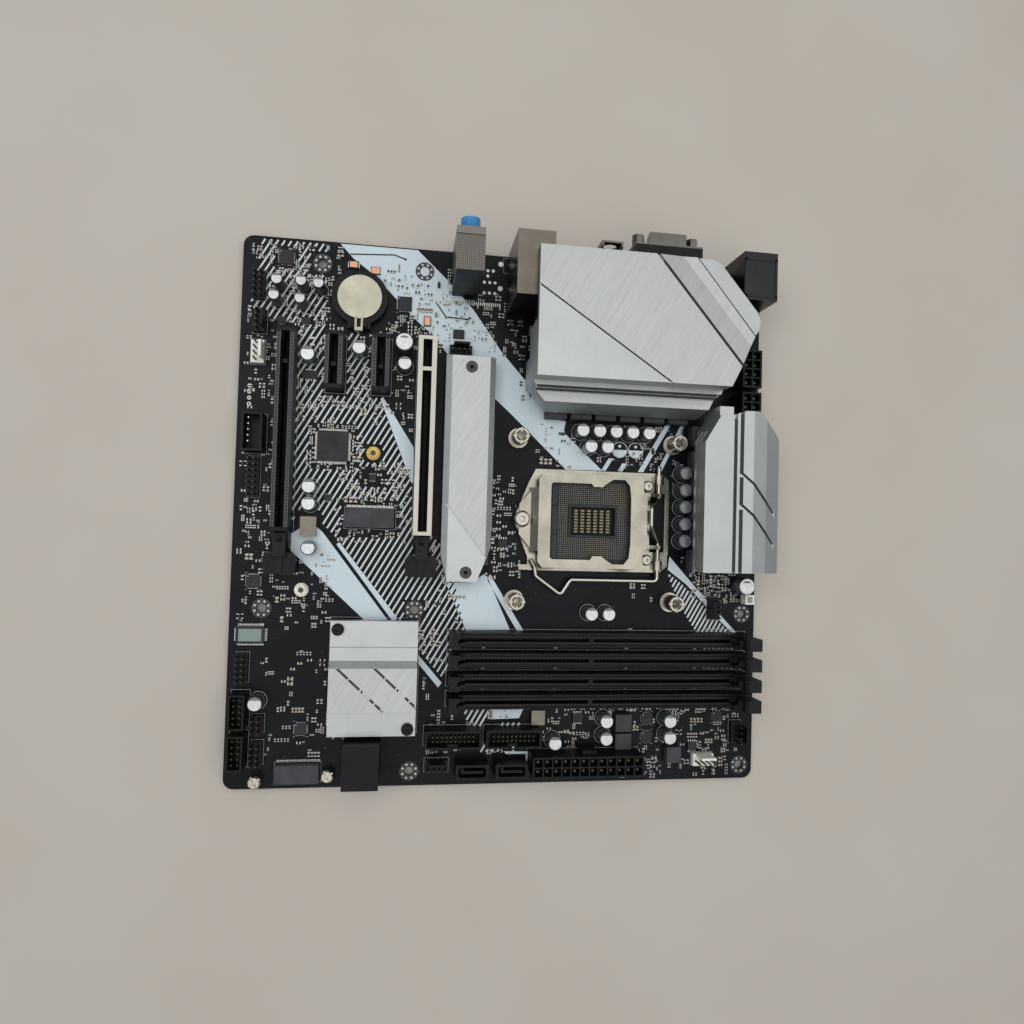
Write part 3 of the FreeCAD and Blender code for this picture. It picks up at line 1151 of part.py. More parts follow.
# ---------------------------------------------------------------- build everything
def main():
    """Make each sub-part and write it."""
    lan_shell, lan_insert = make_lan_usb()
    usb_shell, usb_insert = make_usb_stack()
    ps2_shell, ps2_insert = make_ps2_stack()
    atx, eps, power = make_power_connectors()
    lower_x = SLOT_X0 - 3 * SLOT_PITCH
    parts = {
        "circuit_board": make_board(),
        "solder_joints": make_solder_joints(),
        "cpu_socket_body": make_socket_body(),
        "cpu_socket_contacts": make_socket_contacts(),
        "cpu_socket_capacitors": make_socket_capacitors(),
        "cpu_load_frame": make_ilm_frame(),
        "cpu_load_plate": make_load_plate(),
        "cpu_load_lever": make_load_lever(),
        "cpu_frame_screws": make_ilm_screws(),
        "cpu_backplate": make_ilm_backplate(),
        "cooler_backplate": make_cooler_backplate(),
        "cooler_standoffs": make_cooler_standoffs(),
        "power_chokes": group([make_vrm_chokes(), make_memory_chokes()]),
        "power_stages": make_vrm_mosfets(),
        "metal_inductors": make_small_inductors(),
        "thermal_pads": make_thermal_pads(),
        "main_heatsink": make_main_heatsink(),
        "main_heatsink_cover": make_main_cover(),
        "side_heatsink": make_side_heatsink(),
        "heatsink_screws": group([make_regulator_screws(), make_m2_heatsink_screws()]),
        "drive_heatsink": make_m2_heatsink(),
        "board_posts": group([make_m2_standoffs(), make_card_screws()]),
        "chipset_heatsink": make_chipset_heatsink(),
        "chipset_push_pins": make_chipset_push_pins(),
        "chips": make_chips(),
        "polymer_capacitors": make_polymer_caps(),
        "audio_capacitors": make_audio_caps(),
        "graphics_slot": make_x16_slot(SLOT_X0),
        "graphics_slot_armor": make_slot_armor(),
        "graphics_slot_latch": make_x16_latch(SLOT_X0),
        "lower_slot": make_x16_slot(lower_x),
        "lower_slot_latch": make_x16_latch(lower_x),
        "short_slots": make_x1_slots(),
        "card_sockets": make_m2_sockets(),
        "battery_holder": make_battery_holder(),
        "battery_cell": make_battery_cell(),
        "battery_clip": make_battery_clip(),
        "audio_jack_body": make_audio_body(),
        "audio_jack_collars": make_audio_collars(),
        "audio_jack_shield": make_audio_shield(),
        "lan_usb_shell": lan_shell,
        "usb_stack_shell": usb_shell,
        "keyboard_usb_shell": ps2_shell,
        "rear_port_inserts": group([lan_insert, usb_insert, ps2_insert]),
        "display_housing": make_vga_housing(),
        "display_connectors": group([make_vga_connector(), make_hdmi_port()]),
        "antenna_bracket": make_antenna_bracket(),
        "power_connectors": group([atx, eps]),
        "connector_pins": group([power, make_header_pins()]),
        "drive_ports": group([make_sata_upright(), make_sata_angled()]),
        "black_headers": make_black_headers(),
        "white_headers": make_white_headers(),
    }
    for i in range(4):
        parts["memory_slot_%d" % (i + 1)] = make_dimm_slot(i)
        parts["memory_latch_%d" % (i + 1)] = make_dimm_latch(i)
    for name, shape in parts.items():
        write(name, shape)


if __name__ == "__main__":
    main()
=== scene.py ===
"""Looks of the motherboard: materials, printing, small surface parts, solder, light and camera."""
import math
import random

import bpy
import numpy as np
from mathutils import Euler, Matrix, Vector


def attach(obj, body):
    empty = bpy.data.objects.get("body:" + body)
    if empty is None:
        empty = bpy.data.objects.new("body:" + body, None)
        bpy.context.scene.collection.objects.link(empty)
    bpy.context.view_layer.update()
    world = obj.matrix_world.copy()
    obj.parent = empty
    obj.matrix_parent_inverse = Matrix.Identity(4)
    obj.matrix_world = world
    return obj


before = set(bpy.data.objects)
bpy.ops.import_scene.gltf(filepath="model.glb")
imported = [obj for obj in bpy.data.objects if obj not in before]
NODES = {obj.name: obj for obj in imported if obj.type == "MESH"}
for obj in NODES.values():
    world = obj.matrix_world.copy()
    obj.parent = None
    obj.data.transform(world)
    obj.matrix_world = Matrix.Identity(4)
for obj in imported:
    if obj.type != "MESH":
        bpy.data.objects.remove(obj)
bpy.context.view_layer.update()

MM = 0.001
ORIGIN = (80.01, 233.68, -1.57)         # the shared frame's origin, in board millimetres
BOARD = 243.84
BOARD_T = 1.57
PITCH = 2.54                            # pins of the open headers


def at(x, y, z=0.0):
    """Board millimetres to frame metres."""
    return Vector(((x - ORIGIN[0]) * MM, (y - ORIGIN[1]) * MM, (z - ORIGIN[2]) * MM))


# ---------------- shading
class Shader:
    """Small helper for node materials."""

    def __init__(self, name):
        self.mat = bpy.data.materials.new(name)
        self.mat.use_nodes = True
        self.tree = self.mat.node_tree
        self.bsdf = self.tree.nodes["Principled BSDF"]
        self.coord = self.tree.nodes.new("ShaderNodeTexCoord").outputs["Object"]

    def node(self, kind, inputs=None, **props):
        """A node of a kind, with its properties and inputs (a value or a socket)."""
        made = self.tree.nodes.new("ShaderNode" + kind)
        for key, value in props.items():
            setattr(made, key, value)
        for key, value in (inputs or {}).items():
            if isinstance(value, bpy.types.NodeSocket):
                self.tree.links.new(value, made.inputs[key])
            else:
                made.inputs[key].default_value = value
        return made

    def math(self, operation, a, b=0.0, clamp=False):
        """Result of a maths node."""
        return self.node("Math", {0: a, 1: b}, operation=operation, use_clamp=clamp).outputs[0]

    def stretched(self, scale, turn=0.0):
        """Object coordinates turned about Z and scaled along each axis."""
        made = self.node("Mapping", {"Vector": self.coord, "Rotation": (0, 0, turn)}, vector_type="TEXTURE")
        return self.node("VectorMath", {0: made.outputs[0], 1: scale}, operation="MULTIPLY").outputs[0]

    def noise(self, scale, detail=3.0, vector=None, rough=0.5):
        """Noise value at a number of cycles per metre."""
        inputs = {"Vector": vector or self.coord, "Scale": scale, "Detail": detail, "Roughness": rough}
        return self.node("TexNoise", inputs).outputs["Fac"]

    def span(self, value, low, high, from_low=0.3, from_high=0.7):
        """A value mapped to a range."""
        inputs = {"Value": value, "From Min": from_low, "From Max": from_high, "To Min": low, "To Max": high}
        return self.node("MapRange", inputs).outputs[0]

    def blend(self, factor, a, b):
        """Colour between two colours."""
        return self.node("Mix", {0: factor, 6: a, 7: b}, data_type="RGBA").outputs[2]

    def between(self, factor, a, b):
        """Number between two numbers."""
        return self.node("Mix", {0: factor, 2: a, 3: b}, data_type="FLOAT").outputs[0]

    def mottled(self, value, a, b):
        """Colour that wanders between two colours with a noise value."""
        return self.blend(self.span(value, 0, 1), a, b)

    def weighted(self, a, share_a, b, share_b):
        """Two values, each times its share, added."""
        return self.math("ADD", self.math("MULTIPLY", a, share_a), self.math("MULTIPLY", b, share_b))

    def repeated(self, along, pitch, near, far):
        """1 in the middle of every pitch along a coordinate, falling to 0 from near to far."""
        phase = self.math("FRACT", self.math("MULTIPLY", along, 1.0 / pitch))
        return self.span(self.math("ABSOLUTE", self.math("SUBTRACT", phase, 0.5)), 1, 0, near, far)

    def above(self, a, b, c, edge=0.00008):
        """1 where a*x + b*y > c in frame metres, with a soft edge."""
        made = self.node("VectorMath", {0: self.coord, 1: (a, b, 0.0)}, operation="DOT_PRODUCT")
        return self.span(made.outputs["Value"], 0.0, 1.0, c - edge, c + edge)

    def right_of(self, start, end):
        """1 on the right of the line from start to end, in board millimetres."""
        p, q = at(*start), at(*end)
        a, b = q.y - p.y, p.x - q.x
        size = math.hypot(a, b)
        a, b = a / size, b / size
        return self.above(a, b, a * p.x + b * p.y)

    def facing_up(self, low=0.93, high=0.98):
        """1 where the surface faces up in the object's own space."""
        normal = self.node("TexCoord").outputs["Normal"]
        z = self.node("SeparateXYZ", {0: normal}).outputs[2]
        return self.span(z, 0.0, 1.0, low, high)

    def finish(self, colour, rough, height, strength, distance, metallic=0.0, specular=0.5):
        """The material, with a colour, a roughness and a bump of a height."""
        bump = self.node("Bump", {"Height": height, "Strength": strength, "Distance": distance})
        for name, value in (("Base Color", colour), ("Roughness", rough), ("Normal", bump.outputs[0])):
            self.tree.links.new(value, self.bsdf.inputs[name])
        self.bsdf.inputs["Metallic"].default_value = metallic
        self.bsdf.inputs["Specular IOR Level"].default_value = specular
        return self.mat


def rgb(r, g, b):
    """Linear colour from 0..255 values."""
    def linear(v):
        v /= 255.0
        return v / 12.92 if v <= 0.04045 else ((v + 0.055) / 1.055) ** 2.4
    return (linear(r), linear(g), linear(b), 1.0)


def shade(colour, factor, lift=0.0):
    """A colour made darker or lighter, never above 1."""
    return tuple(min(1.0, c * factor + lift) for c in colour[:3]) + (1.0,)


def moulded(name, colour, rough=0.5, grain=1.0, vary=0.25):
    """Moulded plastic: fine grain, faint flow variation and a few rubbed patches."""
    s = Shader(name)
    fine = s.noise(5200.0, 2.0)
    broad = s.noise(140.0, 4.0)
    return s.finish(s.mottled(broad, shade(colour, 1 - vary), shade(colour, 1 + vary, 0.003)),
                    s.span(s.weighted(fine, 0.5, broad, 0.5), rough - 0.09, rough + 0.09),
                    fine, 0.25 * grain, 0.00003, specular=0.16)


def metal(name, colour, rough=0.3, scratch=0.12, turn=0.0, stain=0.12, wave=0.0):
    """Plated or polished metal: fine scratches along one way, stains, dull patches, a gentle wave."""
    s = Shader(name)
    lines = s.noise(1.0, 3.0, s.stretched((260.0, 5200.0, 900.0), turn))
    cloud = s.noise(95.0, 5.0, rough=0.6)
    bump = (lines, 0.03, 0.00001)
    if wave:
        bump = (s.weighted(s.noise(38.0, 1.0), wave, lines, 0.00008), 1.0, 0.01)
    return s.finish(s.mottled(cloud, shade(colour, 1 - stain), colour),
                    s.span(s.weighted(lines, 0.6, cloud, 0.4), max(0.05, rough - scratch), rough + scratch),
                    *bump, metallic=1.0)


ALU = (0.428, 0.443, 0.440, 1.0)
BRUSHING = math.radians(61)             # way of the brushing on every heatsink


def blasted(s):
    """Colour and height of bead-blasted aluminium."""
    speck = s.noise(2600.0, 2.0)
    mixed = s.weighted(speck, 0.7, s.noise(60.0, 3.0), 0.3)
    return s.blend(s.span(mixed, 0, 1, 0.35, 0.65), shade(ALU, 0.86), shade(ALU, 1.1)), speck


def brushed(s):
    """Colour and height of aluminium brushed along one way."""
    lines = s.noise(1.0, 4.0, s.stretched((110.0, 3400.0, 110.0), BRUSHING), 0.65)
    mixed = s.weighted(lines, 0.7, s.noise(1.0, 2.0, s.stretched((30.0, 900.0, 30.0), BRUSHING)), 0.3)
    return s.blend(s.span(mixed, 0, 1, 0.32, 0.68), shade(ALU, 0.66), shade(ALU, 0.93)), lines


def heatsink(name, edges):
    """Blasted aluminium heatsink. Where there are edges, its top is brushed on the right of them all."""
    s = Shader(name)
    colour, height = blasted(s)
    rough = s.span(height, 0.42, 0.56)
    if edges:
        factor = s.facing_up()
        for start, end in edges:
            factor = s.math("MULTIPLY", factor, s.right_of(start, end))
        shiny, lines = brushed(s)
        colour = s.blend(factor, colour, shiny)
        rough = s.between(factor, rough, s.span(lines, 0.26, 0.42))
        height = s.between(factor, height, lines)
    return s.finish(colour, rough, height, 0.35, 0.00003, metallic=0.88)


def board_mask():
    """Glossy black solder mask with buried traces, vias and a brown laminate edge."""
    s = Shader("board_mask")
    slanted = s.stretched((1, 1, 1), math.radians(45))
    lanes = s.node("TexWave", {"Vector": slanted, "Scale": 210.0}, bands_direction="X").outputs["Fac"]
    level = s.node("TexWave", {"Vector": s.coord, "Scale": 250.0}, bands_direction="Y").outputs["Fac"]
    trace = s.between(s.span(s.noise(28.0, 2.0), 0, 1, 0.47, 0.5), lanes, level)
    zone = s.span(s.noise(45.0, 1.0), 0, 1, 0.5, 0.56)
    trace = s.math("MULTIPLY", s.span(trace, 0, 1, 0.62, 0.7), zone)
    cells = s.node("TexVoronoi", {"Vector": s.coord, "Scale": 260.0}).outputs["Distance"]
    via = s.math("MULTIPLY", s.span(cells, 1, 0, 0.08, 0.12), s.span(s.noise(60.0, 1.0), 0, 1, 0.5, 0.6))
    black, buried, ring, laminate = rgb(9, 11, 14), rgb(19, 22, 26), rgb(58, 58, 54), rgb(52, 45, 34)
    colour = s.blend(via, s.blend(trace, black, buried), ring)
    upright = s.node("SeparateXYZ", {0: s.node("TexCoord").outputs["Normal"]}).outputs[2]
    flat = s.span(s.math("ABSOLUTE", upright), 0, 1, 0.4, 0.6)
    return s.finish(s.blend(flat, laminate, colour), s.span(s.noise(900.0, 5.0), 0.24, 0.4),
                    s.math("ADD", trace, s.math("MULTIPLY", via, -1.5)), 0.25, 0.00003, specular=0.11)


def contact_field():
    """Spring contacts: gold tips over dark gaps, at the contact pitch."""
    s = Shader("contact_field")
    tip = s.repeated(s.node("SeparateXYZ", {0: s.coord}).outputs[0], 0.000914, 0.2, 0.3)
    cloud = s.noise(160.0, 3.0)
    gold = s.mottled(cloud, rgb(104, 98, 86), rgb(128, 122, 108))
    return s.finish(s.blend(tip, rgb(26, 27, 30), gold), s.span(cloud, 0.34, 0.5), tip, 0.6, 0.0002, 0.7)


def can_metal(name, sleeve, metallic):
    """Capacitor can: bright scored top, and a plain or sleeved side."""
    s = Shader(name)
    cloud = s.noise(420.0, 3.0)
    lines = s.noise(1.0, 2.0, s.stretched((5200.0, 400.0, 400.0), 0.4))
    top = s.mottled(lines, rgb(158, 160, 162), rgb(196, 198, 198))
    side = s.mottled(cloud, sleeve, shade(sleeve, 1.3))
    return s.finish(s.blend(s.facing_up(), side, top), s.span(cloud, 0.26, 0.4), lines, 0.1, 0.00002, metallic)


def perforated(name, colour, pitch):
    """Sheet metal with a fine grid of embossed holes on top, up to its plain rear end."""
    s = Shader(name)
    x, y, _ = s.node("SeparateXYZ", {0: s.coord}).outputs
    dots = s.math("MULTIPLY", s.repeated(x, pitch, 0.26, 0.36), s.repeated(y, pitch, 0.26, 0.36))
    end = at(0, 238.4).y
    dots = s.math("MULTIPLY", s.math("MULTIPLY", dots, s.span(y, 1, 0, end - 0.0001, end)), s.facing_up())
    cloud = s.noise(120.0, 4.0)
    plain = s.mottled(cloud, shade(colour, 0.85), colour)
    return s.finish(s.blend(dots, plain, rgb(52, 52, 52)), s.span(cloud, 0.3, 0.46), dots, -0.8, 0.0002, 0.9)


def printed(name, colour, rough=0.5):
    """Printed ink, also used for painted shade and painted highlight: slightly uneven cover."""
    s = Shader(name)
    fine = s.noise(1400.0, 3.0)
    return s.finish(s.mottled(fine, shade(colour, 0.9), colour), s.span(fine, rough - 0.06, rough + 0.06),
                    fine, 0.1, 0.00002)


def solder_metal(name, colour, rough):
    """Solder or tinned copper: bright and slightly lumpy."""
    s = Shader(name)
    lump = s.noise(1500.0, 3.0)
    return s.finish(s.mottled(lump, shade(colour, 0.8), colour), s.span(lump, rough - 0.08, rough + 0.12),
                    lump, 0.3, 0.00008, metallic=1.0)


def posts():
    """Machined posts: gold for the drive in the middle, plated for the others."""
    s = Shader("machined_posts")
    lump = s.noise(900.0, 3.0)
    gold = s.mottled(lump, rgb(138, 114, 62), rgb(182, 152, 88))
    plated = s.mottled(lump, rgb(150, 146, 134), rgb(184, 180, 168))
    behind = s.above(0.0, 1.0, at(0, 120.0).y)
    return s.finish(s.blend(behind, plated, gold), s.span(lump, 0.22, 0.34), lump, 0.05, 0.00002, metallic=1.0)


BLACK = (0.0034, 0.0037, 0.0045, 1.0)
M = {
    "board": board_mask(),
    "black": moulded("black_plastic", BLACK, 0.42),
    "black_soft": moulded("black_plastic_matt", (0.0095, 0.0100, 0.0115, 1.0), 0.55),
    "card_plastic": moulded("card_socket_plastic", rgb(60, 61, 64), 0.45),
    "socket": moulded("socket_plastic", (0.030, 0.033, 0.042, 1.0), 0.5),
    "steel": metal("plated_steel", rgb(164, 160, 147), 0.27, 0.07, 0.0, 0.34, 0.6),
    "lever": metal("polished_wire", rgb(172, 167, 154), 0.2, 0.06, 1.2, 0.06),
    "bolt": metal("plated_screw", rgb(172, 167, 156), 0.28, 0.08, 0.6),
    "black_steel": metal("black_oxide", rgb(70, 68, 66), 0.42, 0.1),
    "dark_sheet": metal("dark_sheet", rgb(46, 46, 48), 0.22, 0.08, 0.0, 0.25, 0.25),
    "nickel": metal("nickel_shell", rgb(104, 98, 90), 0.3, 0.08, 0.0, 0.3, 0.25),
    "dull_nickel": metal("connector_shell", rgb(98, 96, 92), 0.32, 0.1, 0.0, 0.2),
    "armor": metal("slot_jacket", rgb(168, 165, 156), 0.36, 0.1, 1.57, 0.1),
    "contacts": contact_field(),
    "gold": solder_metal("gold_pins", rgb(70, 65, 52), 0.36),
    "brass": posts(),
    "tin": solder_metal("tinned", rgb(172, 172, 167), 0.36),
    "lead": solder_metal("chip_leads", rgb(196, 196, 190), 0.3),
    "core_parts": solder_metal("core_capacitor_ends", rgb(122, 114, 88), 0.4),
    "ceramic": moulded("ceramic_tan", rgb(112, 98, 80), 0.45),
    "epoxy": moulded("chip_epoxy", rgb(44, 44, 46), 0.5, 1.5),
    "choke": moulded("pressed_choke", rgb(58, 60, 63), 0.5, 2.0),
    "inductor": metal("inductor_case", rgb(120, 115, 105), 0.4, 0.12, 0.3, 0.35, 0.2),
    "pad": moulded("thermal_pad", rgb(128, 134, 140), 0.8),
    "can": can_metal("polymer_can", rgb(128, 130, 132), 0.9),
    "sleeve": can_metal("audio_can", rgb(36, 38, 44), 0.45),
    "cell": metal("coin_cell", rgb(168, 165, 149), 0.34, 0.12, 0.8, 0.3, 0.5),
    "blue": moulded("blue_collar", rgb(66, 132, 190), 0.42),
    "white": moulded("white_plastic", rgb(222, 222, 214), 0.5, 1.0, 0.06),
    "shield": perforated("perforated_shield", rgb(112, 108, 102), 0.00082),
    "silk": printed("light_print", rgb(192, 207, 214)),
    "hatch": printed("hatching_print", rgb(196, 202, 202)),
    "fine_silk": printed("fine_print", rgb(150, 158, 162)),
    "mask_print": printed("mask_over_print", rgb(15, 17, 20), 0.34),
    # dark flat colour: painted shade on the floors of the chipset heatsink's slots
    "slot_shade_painted": printed("slot_shade_painted", rgb(48, 50, 54)),
    # grey standing in for light on the tops of the black plastic ribs: painted highlight
    "rib": printed("slot_rib", rgb(84, 87, 92)),
    # dark flat colour: painted shade in the heatsink grooves and over the post holes
    "groove": printed("groove_shade_painted", rgb(46, 50, 54)),
    "polarity": printed("polarity_print", rgb(104, 108, 112)),
    "copper": metal("copper_top", rgb(196, 148, 118), 0.4, 0.12, 0.4, 0.3),
    "tag": printed("chip_label", rgb(120, 138, 134)),
    "main": heatsink("main_heatsink_finish", [((186.0, 181.6), (127.4, 219.8)),
                                              ((196.6, 237.2), (224.6, 203.7))]),
    "side": heatsink("side_heatsink_finish", []),
    "drive": heatsink("drive_heatsink_finish", [((112.4, 101.4), (90.0, 130.3))]),
    "chipset": heatsink("chipset_heatsink_finish", [((40.0, 35.2), (30.0, 35.2)),
                                                    ((30.0, 54.1), (40.0, 54.1))]),
}

FINISH = {                              # nodes of each finish
    "board": ["circuit_board"],
    "tin": ["solder_joints"],
    "socket": ["cpu_socket_body"],
    "contacts": ["cpu_socket_contacts"],
    "core_parts": ["cpu_socket_capacitors"],
    "steel": ["cpu_load_frame", "cpu_load_plate", "battery_clip"],
    "lever": ["cpu_load_lever"],
    "bolt": ["cpu_frame_screws", "cooler_standoffs"],
    "black_steel": ["cpu_backplate", "heatsink_screws"],
    "black_soft": ["cooler_backplate", "graphics_slot_latch", "lower_slot_latch", "memory_latch_1",
                   "memory_latch_2", "memory_latch_3", "memory_latch_4"],
    "choke": ["power_chokes"],
    "epoxy": ["power_stages", "chips"],
    "inductor": ["metal_inductors"],
    "pad": ["thermal_pads"],
    "main": ["main_heatsink", "main_heatsink_cover"],
    "side": ["side_heatsink"],
    "drive": ["drive_heatsink"],
    "brass": ["board_posts"],
    "chipset": ["chipset_heatsink"],
    "black": ["chipset_push_pins", "graphics_slot", "lower_slot", "short_slots", "battery_holder",
              "audio_jack_body", "rear_port_inserts", "display_housing", "power_connectors", "drive_ports",
              "black_headers", "memory_slot_1", "memory_slot_2", "memory_slot_3", "memory_slot_4"],
    "can": ["polymer_capacitors"],
    "sleeve": ["audio_capacitors"],
    "armor": ["graphics_slot_armor"],
    "card_plastic": ["card_sockets"],
    "cell": ["battery_cell"],
    "blue": ["audio_jack_collars"],
    "shield": ["audio_jack_shield"],
    "nickel": ["lan_usb_shell", "usb_stack_shell", "antenna_bracket"],
    "dark_sheet": ["keyboard_usb_shell"],
    "dull_nickel": ["display_connectors"],
    "gold": ["connector_pins"],
    "white": ["white_headers"],
}
for finish, nodes in FINISH.items():
    for node in nodes:
        NODES[node].data.materials.clear()
        NODES[node].data.materials.append(M[finish])


# ---------------- mesh building
def circle(x, y, radius, sides):
    """Corners of a regular outline."""
    turns = [2 * math.pi * k / sides for k in range(sides)]
    return [(x + radius * math.cos(turn), y + radius * math.sin(turn)) for turn in turns]


class Pieces:
    """Collects faces in board millimetres, and makes one object of them."""

    def __init__(self):
        self.points, self.faces = [], []

    def add(self, points, faces):
        """Points and faces that use them."""
        start = len(self.points)
        self.points += points
        self.faces += [tuple(start + i for i in face) for face in faces]

    def prism(self, outline, z0, z1, inset=0.0):
        """Plan outline raised from z0 to z1, its top drawn in by an inset."""
        n = len(outline)
        cx = sum(p[0] for p in outline) / n
        cy = sum(p[1] for p in outline) / n
        reach = max(math.hypot(x - cx, y - cy) for x, y in outline)
        k = 1.0 - inset / reach if inset else 1.0
        low = [(x, y, z0) for x, y in outline]
        high = [(cx + (x - cx) * k, cy + (y - cy) * k, z1) for x, y in outline]
        sides = [(i, (i + 1) % n, n + (i + 1) % n, n + i) for i in range(n)]
        self.add(low + high, sides + [tuple(range(n, 2 * n)), tuple(range(n - 1, -1, -1))])

    def box(self, x0, y0, z0, x1, y1, z1, inset=0.0):
        """Upright block."""
        self.prism([(x0, y0), (x1, y0), (x1, y1), (x0, y1)], z0, z1, inset)

    def block(self, x, y, lx, ly, z0, z1, inset=0.0):
        """Upright block centred on x, y."""
        self.box(x - lx / 2, y - ly / 2, z0, x + lx / 2, y + ly / 2, z1, inset)

    def disc(self, x, y, radius, z0, z1, sides):
        """Upright round."""
        self.prism(circle(x, y, radius, sides), z0, z1)

    def flat(self, outline, z):
        """Flat outline at a height."""
        self.add([(x, y, z) for x, y in outline], [tuple(range(len(outline)))])

    def ring(self, x, y, inner, outer, z, sides=28, start=0.0, sweep=360.0):
        """Flat ring, or part of one."""
        steps = max(2, int(sides * sweep / 360.0))
        points = []
        for k in range(steps + 1):
            angle = math.radians(start + sweep * k / steps)
            for r in (inner, outer):
                points.append((x + r * math.cos(angle), y + r * math.sin(angle), z))
        self.add(points, [(2 * k, 2 * k + 1, 2 * k + 3, 2 * k + 2) for k in range(steps)])

    def line(self, a, b, width, z):
        """Flat straight line with a width."""
        dx, dy = b[0] - a[0], b[1] - a[1]
        size = math.hypot(dx, dy)
        nx, ny = -dy / size * width / 2, dx / size * width / 2
        self.flat([(a[0] + nx, a[1] + ny), (a[0] - nx, a[1] - ny),
                   (b[0] - nx, b[1] - ny), (b[0] + nx, b[1] + ny)], z)

    def rect(self, x0, y0, x1, y1, width, z):
        """Outline of a rectangle."""
        corners = [(x0, y0), (x1, y0), (x1, y1), (x0, y1)]
        for a, b in zip(corners, corners[1:] + corners[:1]):
            self.line(a, b, width, z)

    def make(self, name, material, slot):
        """The object, fixed to the board."""
        mesh = bpy.data.meshes.new(name)
        mesh.from_pydata([at(*p) for p in self.points], [], self.faces)
        mesh.update()
        mesh.materials.append(M[material])
        made = bpy.data.objects.new(name, mesh)
        bpy.context.scene.collection.objects.link(made)
        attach(made, "board")


def crossings(polygon, origin, way):
    """Sorted distances along a line where it crosses a polygon's edges."""
    found = []
    for (ax, ay), (bx, by) in zip(polygon, polygon[1:] + polygon[:1]):
        ex, ey = bx - ax, by - ay
        det = way[0] * ey - way[1] * ex
        if abs(det) < 1e-9:
            continue
        wx, wy = ax - origin[0], ay - origin[1]
        u = (wx * way[1] - wy * way[0]) / det
        if 0.0 <= u < 1.0:
            found.append((wx * ey - wy * ex) / det)
    return sorted(found)


# ---------------- printing on the board
INK = 0.03                              # height of the light print
OVER = 0.05                             # height of what is printed over it
BANDS = [
    [(41.8, 243.3), (76.5, 243.3), (90.6, 230.4), (102.9, 217.6), (116.5, 198.9), (129.0, 185.2),
     (137.5, 176.0), (144.8, 168.4), (147.9, 168.0), (147.0, 162.9), (158.6, 152.3), (166.1, 145.5),
     (148.5, 145.3), (120.2, 171.6), (114.1, 176.8), (104.0, 192.0), (100.6, 195.2), (91.7, 195.8),
     (86.0, 203.4), (77.5, 210.3), (61.0, 226.3), (57.5, 230.0), (47.8, 237.0)],
    [(61.8, 173.8), (62.9, 174.9), (77.4, 152.6), (77.9, 137.0), (77.0, 136.0), (71.7, 149.4), (65.5, 164.8)],
    [(23.8, 111.0), (33.0, 117.5), (38.5, 112.8), (66.2, 76.8), (68.6, 73.7), (58.3, 73.7), (24.1, 105.1)],
    [(44.6, 107.6), (45.9, 108.6), (72.6, 75.0), (71.4, 73.7), (70.2, 74.0)],
    [(82.5, 58.4), (93.4, 45.9), (91.9, 43.8), (82.6, 54.6)],
    [(94.0, 91.2), (103.7, 69.9), (124.1, 70.1), (112.1, 96.1), (106.1, 91.9)],
    [(114.1, 95.6), (130.4, 69.9), (127.3, 69.9), (112.9, 93.0)],
    [(200.3, 105.8), (208.9, 96.4), (215.2, 89.6), (234.8, 69.9), (232.4, 69.9), (222.1, 79.3), (209.0, 92.6),
     (199.6, 99.4)],
    [(116.0, 33.8), (131.4, 33.7), (129.5, 29.6), (116.1, 29.2)],
    [(122.7, 14.5), (134.1, 14.3), (133.9, 8.3), (133.3, 8.3), (133.2, 13.2), (124.0, 13.3)],
    [(196.6, 168.4), (199.2, 168.4), (186.3, 145.6), (183.6, 145.6)],
    [(204.2, 168.4), (206.2, 168.4), (195.2, 146.0), (193.4, 146.6)],
    [(173.9, 145.6), (176.1, 145.6), (178.0, 149.4), (175.8, 149.4)],
    [(165.6, 145.6), (167.8, 145.6), (171.4, 151.6), (169.2, 151.6)],
]
HATCHES = [
    # region, pitch, line width
    ([(24.2, 205.0), (49.0, 207.5), (55.0, 195.0), (61.2, 175.0), (66.0, 163.0), (71.7, 149.0), (77.0, 135.5),
      (77.6, 120.0), (92.0, 108.0), (97.5, 93.3), (103.0, 71.0), (94.0, 47.6), (83.0, 60.4), (69.6, 78.8),
      (46.5, 108.4), (36.5, 118.5), (24.2, 118.0)], 2.45, 0.78),
    ([(3.8, 212.0), (8.0, 242.6), (36.2, 242.6), (40.5, 230.0), (44.0, 226.0), (40.0, 209.0), (24.2, 206.5),
      (18.0, 205.0)], 2.45, 0.78),
    ([(103.8, 33.4), (115.6, 33.8), (111.2, 23.2), (106.1, 26.8)], 2.2, 0.9),
    ([(111.0, 14.4), (122.0, 14.4), (131.0, 27.5), (121.0, 27.5)], 2.2, 0.9),
    ([(199.6, 97.8), (206.0, 93.4), (231.6, 69.7), (214.5, 69.7), (208.7, 78.4), (201.7, 92.0)], 2.0, 0.95),
]
# black shapes left clear inside the hatching: x, y, half length along X and Y
CLEAR = [
    (41.6, 151.4, 10.4, 10.4), (59.5, 149.0, 4.2, 4.2), (59.5, 138.4, 6.5, 4.6), (51.3, 218.4, 15.0, 15.5),
    (59.0, 119.5, 13.0, 8.6), (18.6, 235.0, 5.2, 5.2), (34.29, 233.68, 5.4, 5.4), (80.01, 78.74, 4.6, 4.6),
    (61.86, 188.4, 5.2, 14.2), (41.54, 188.4, 5.2, 14.2), (72.0, 194.0, 5.4, 10.6), (32.0, 115.0, 6.0, 7.5),
]

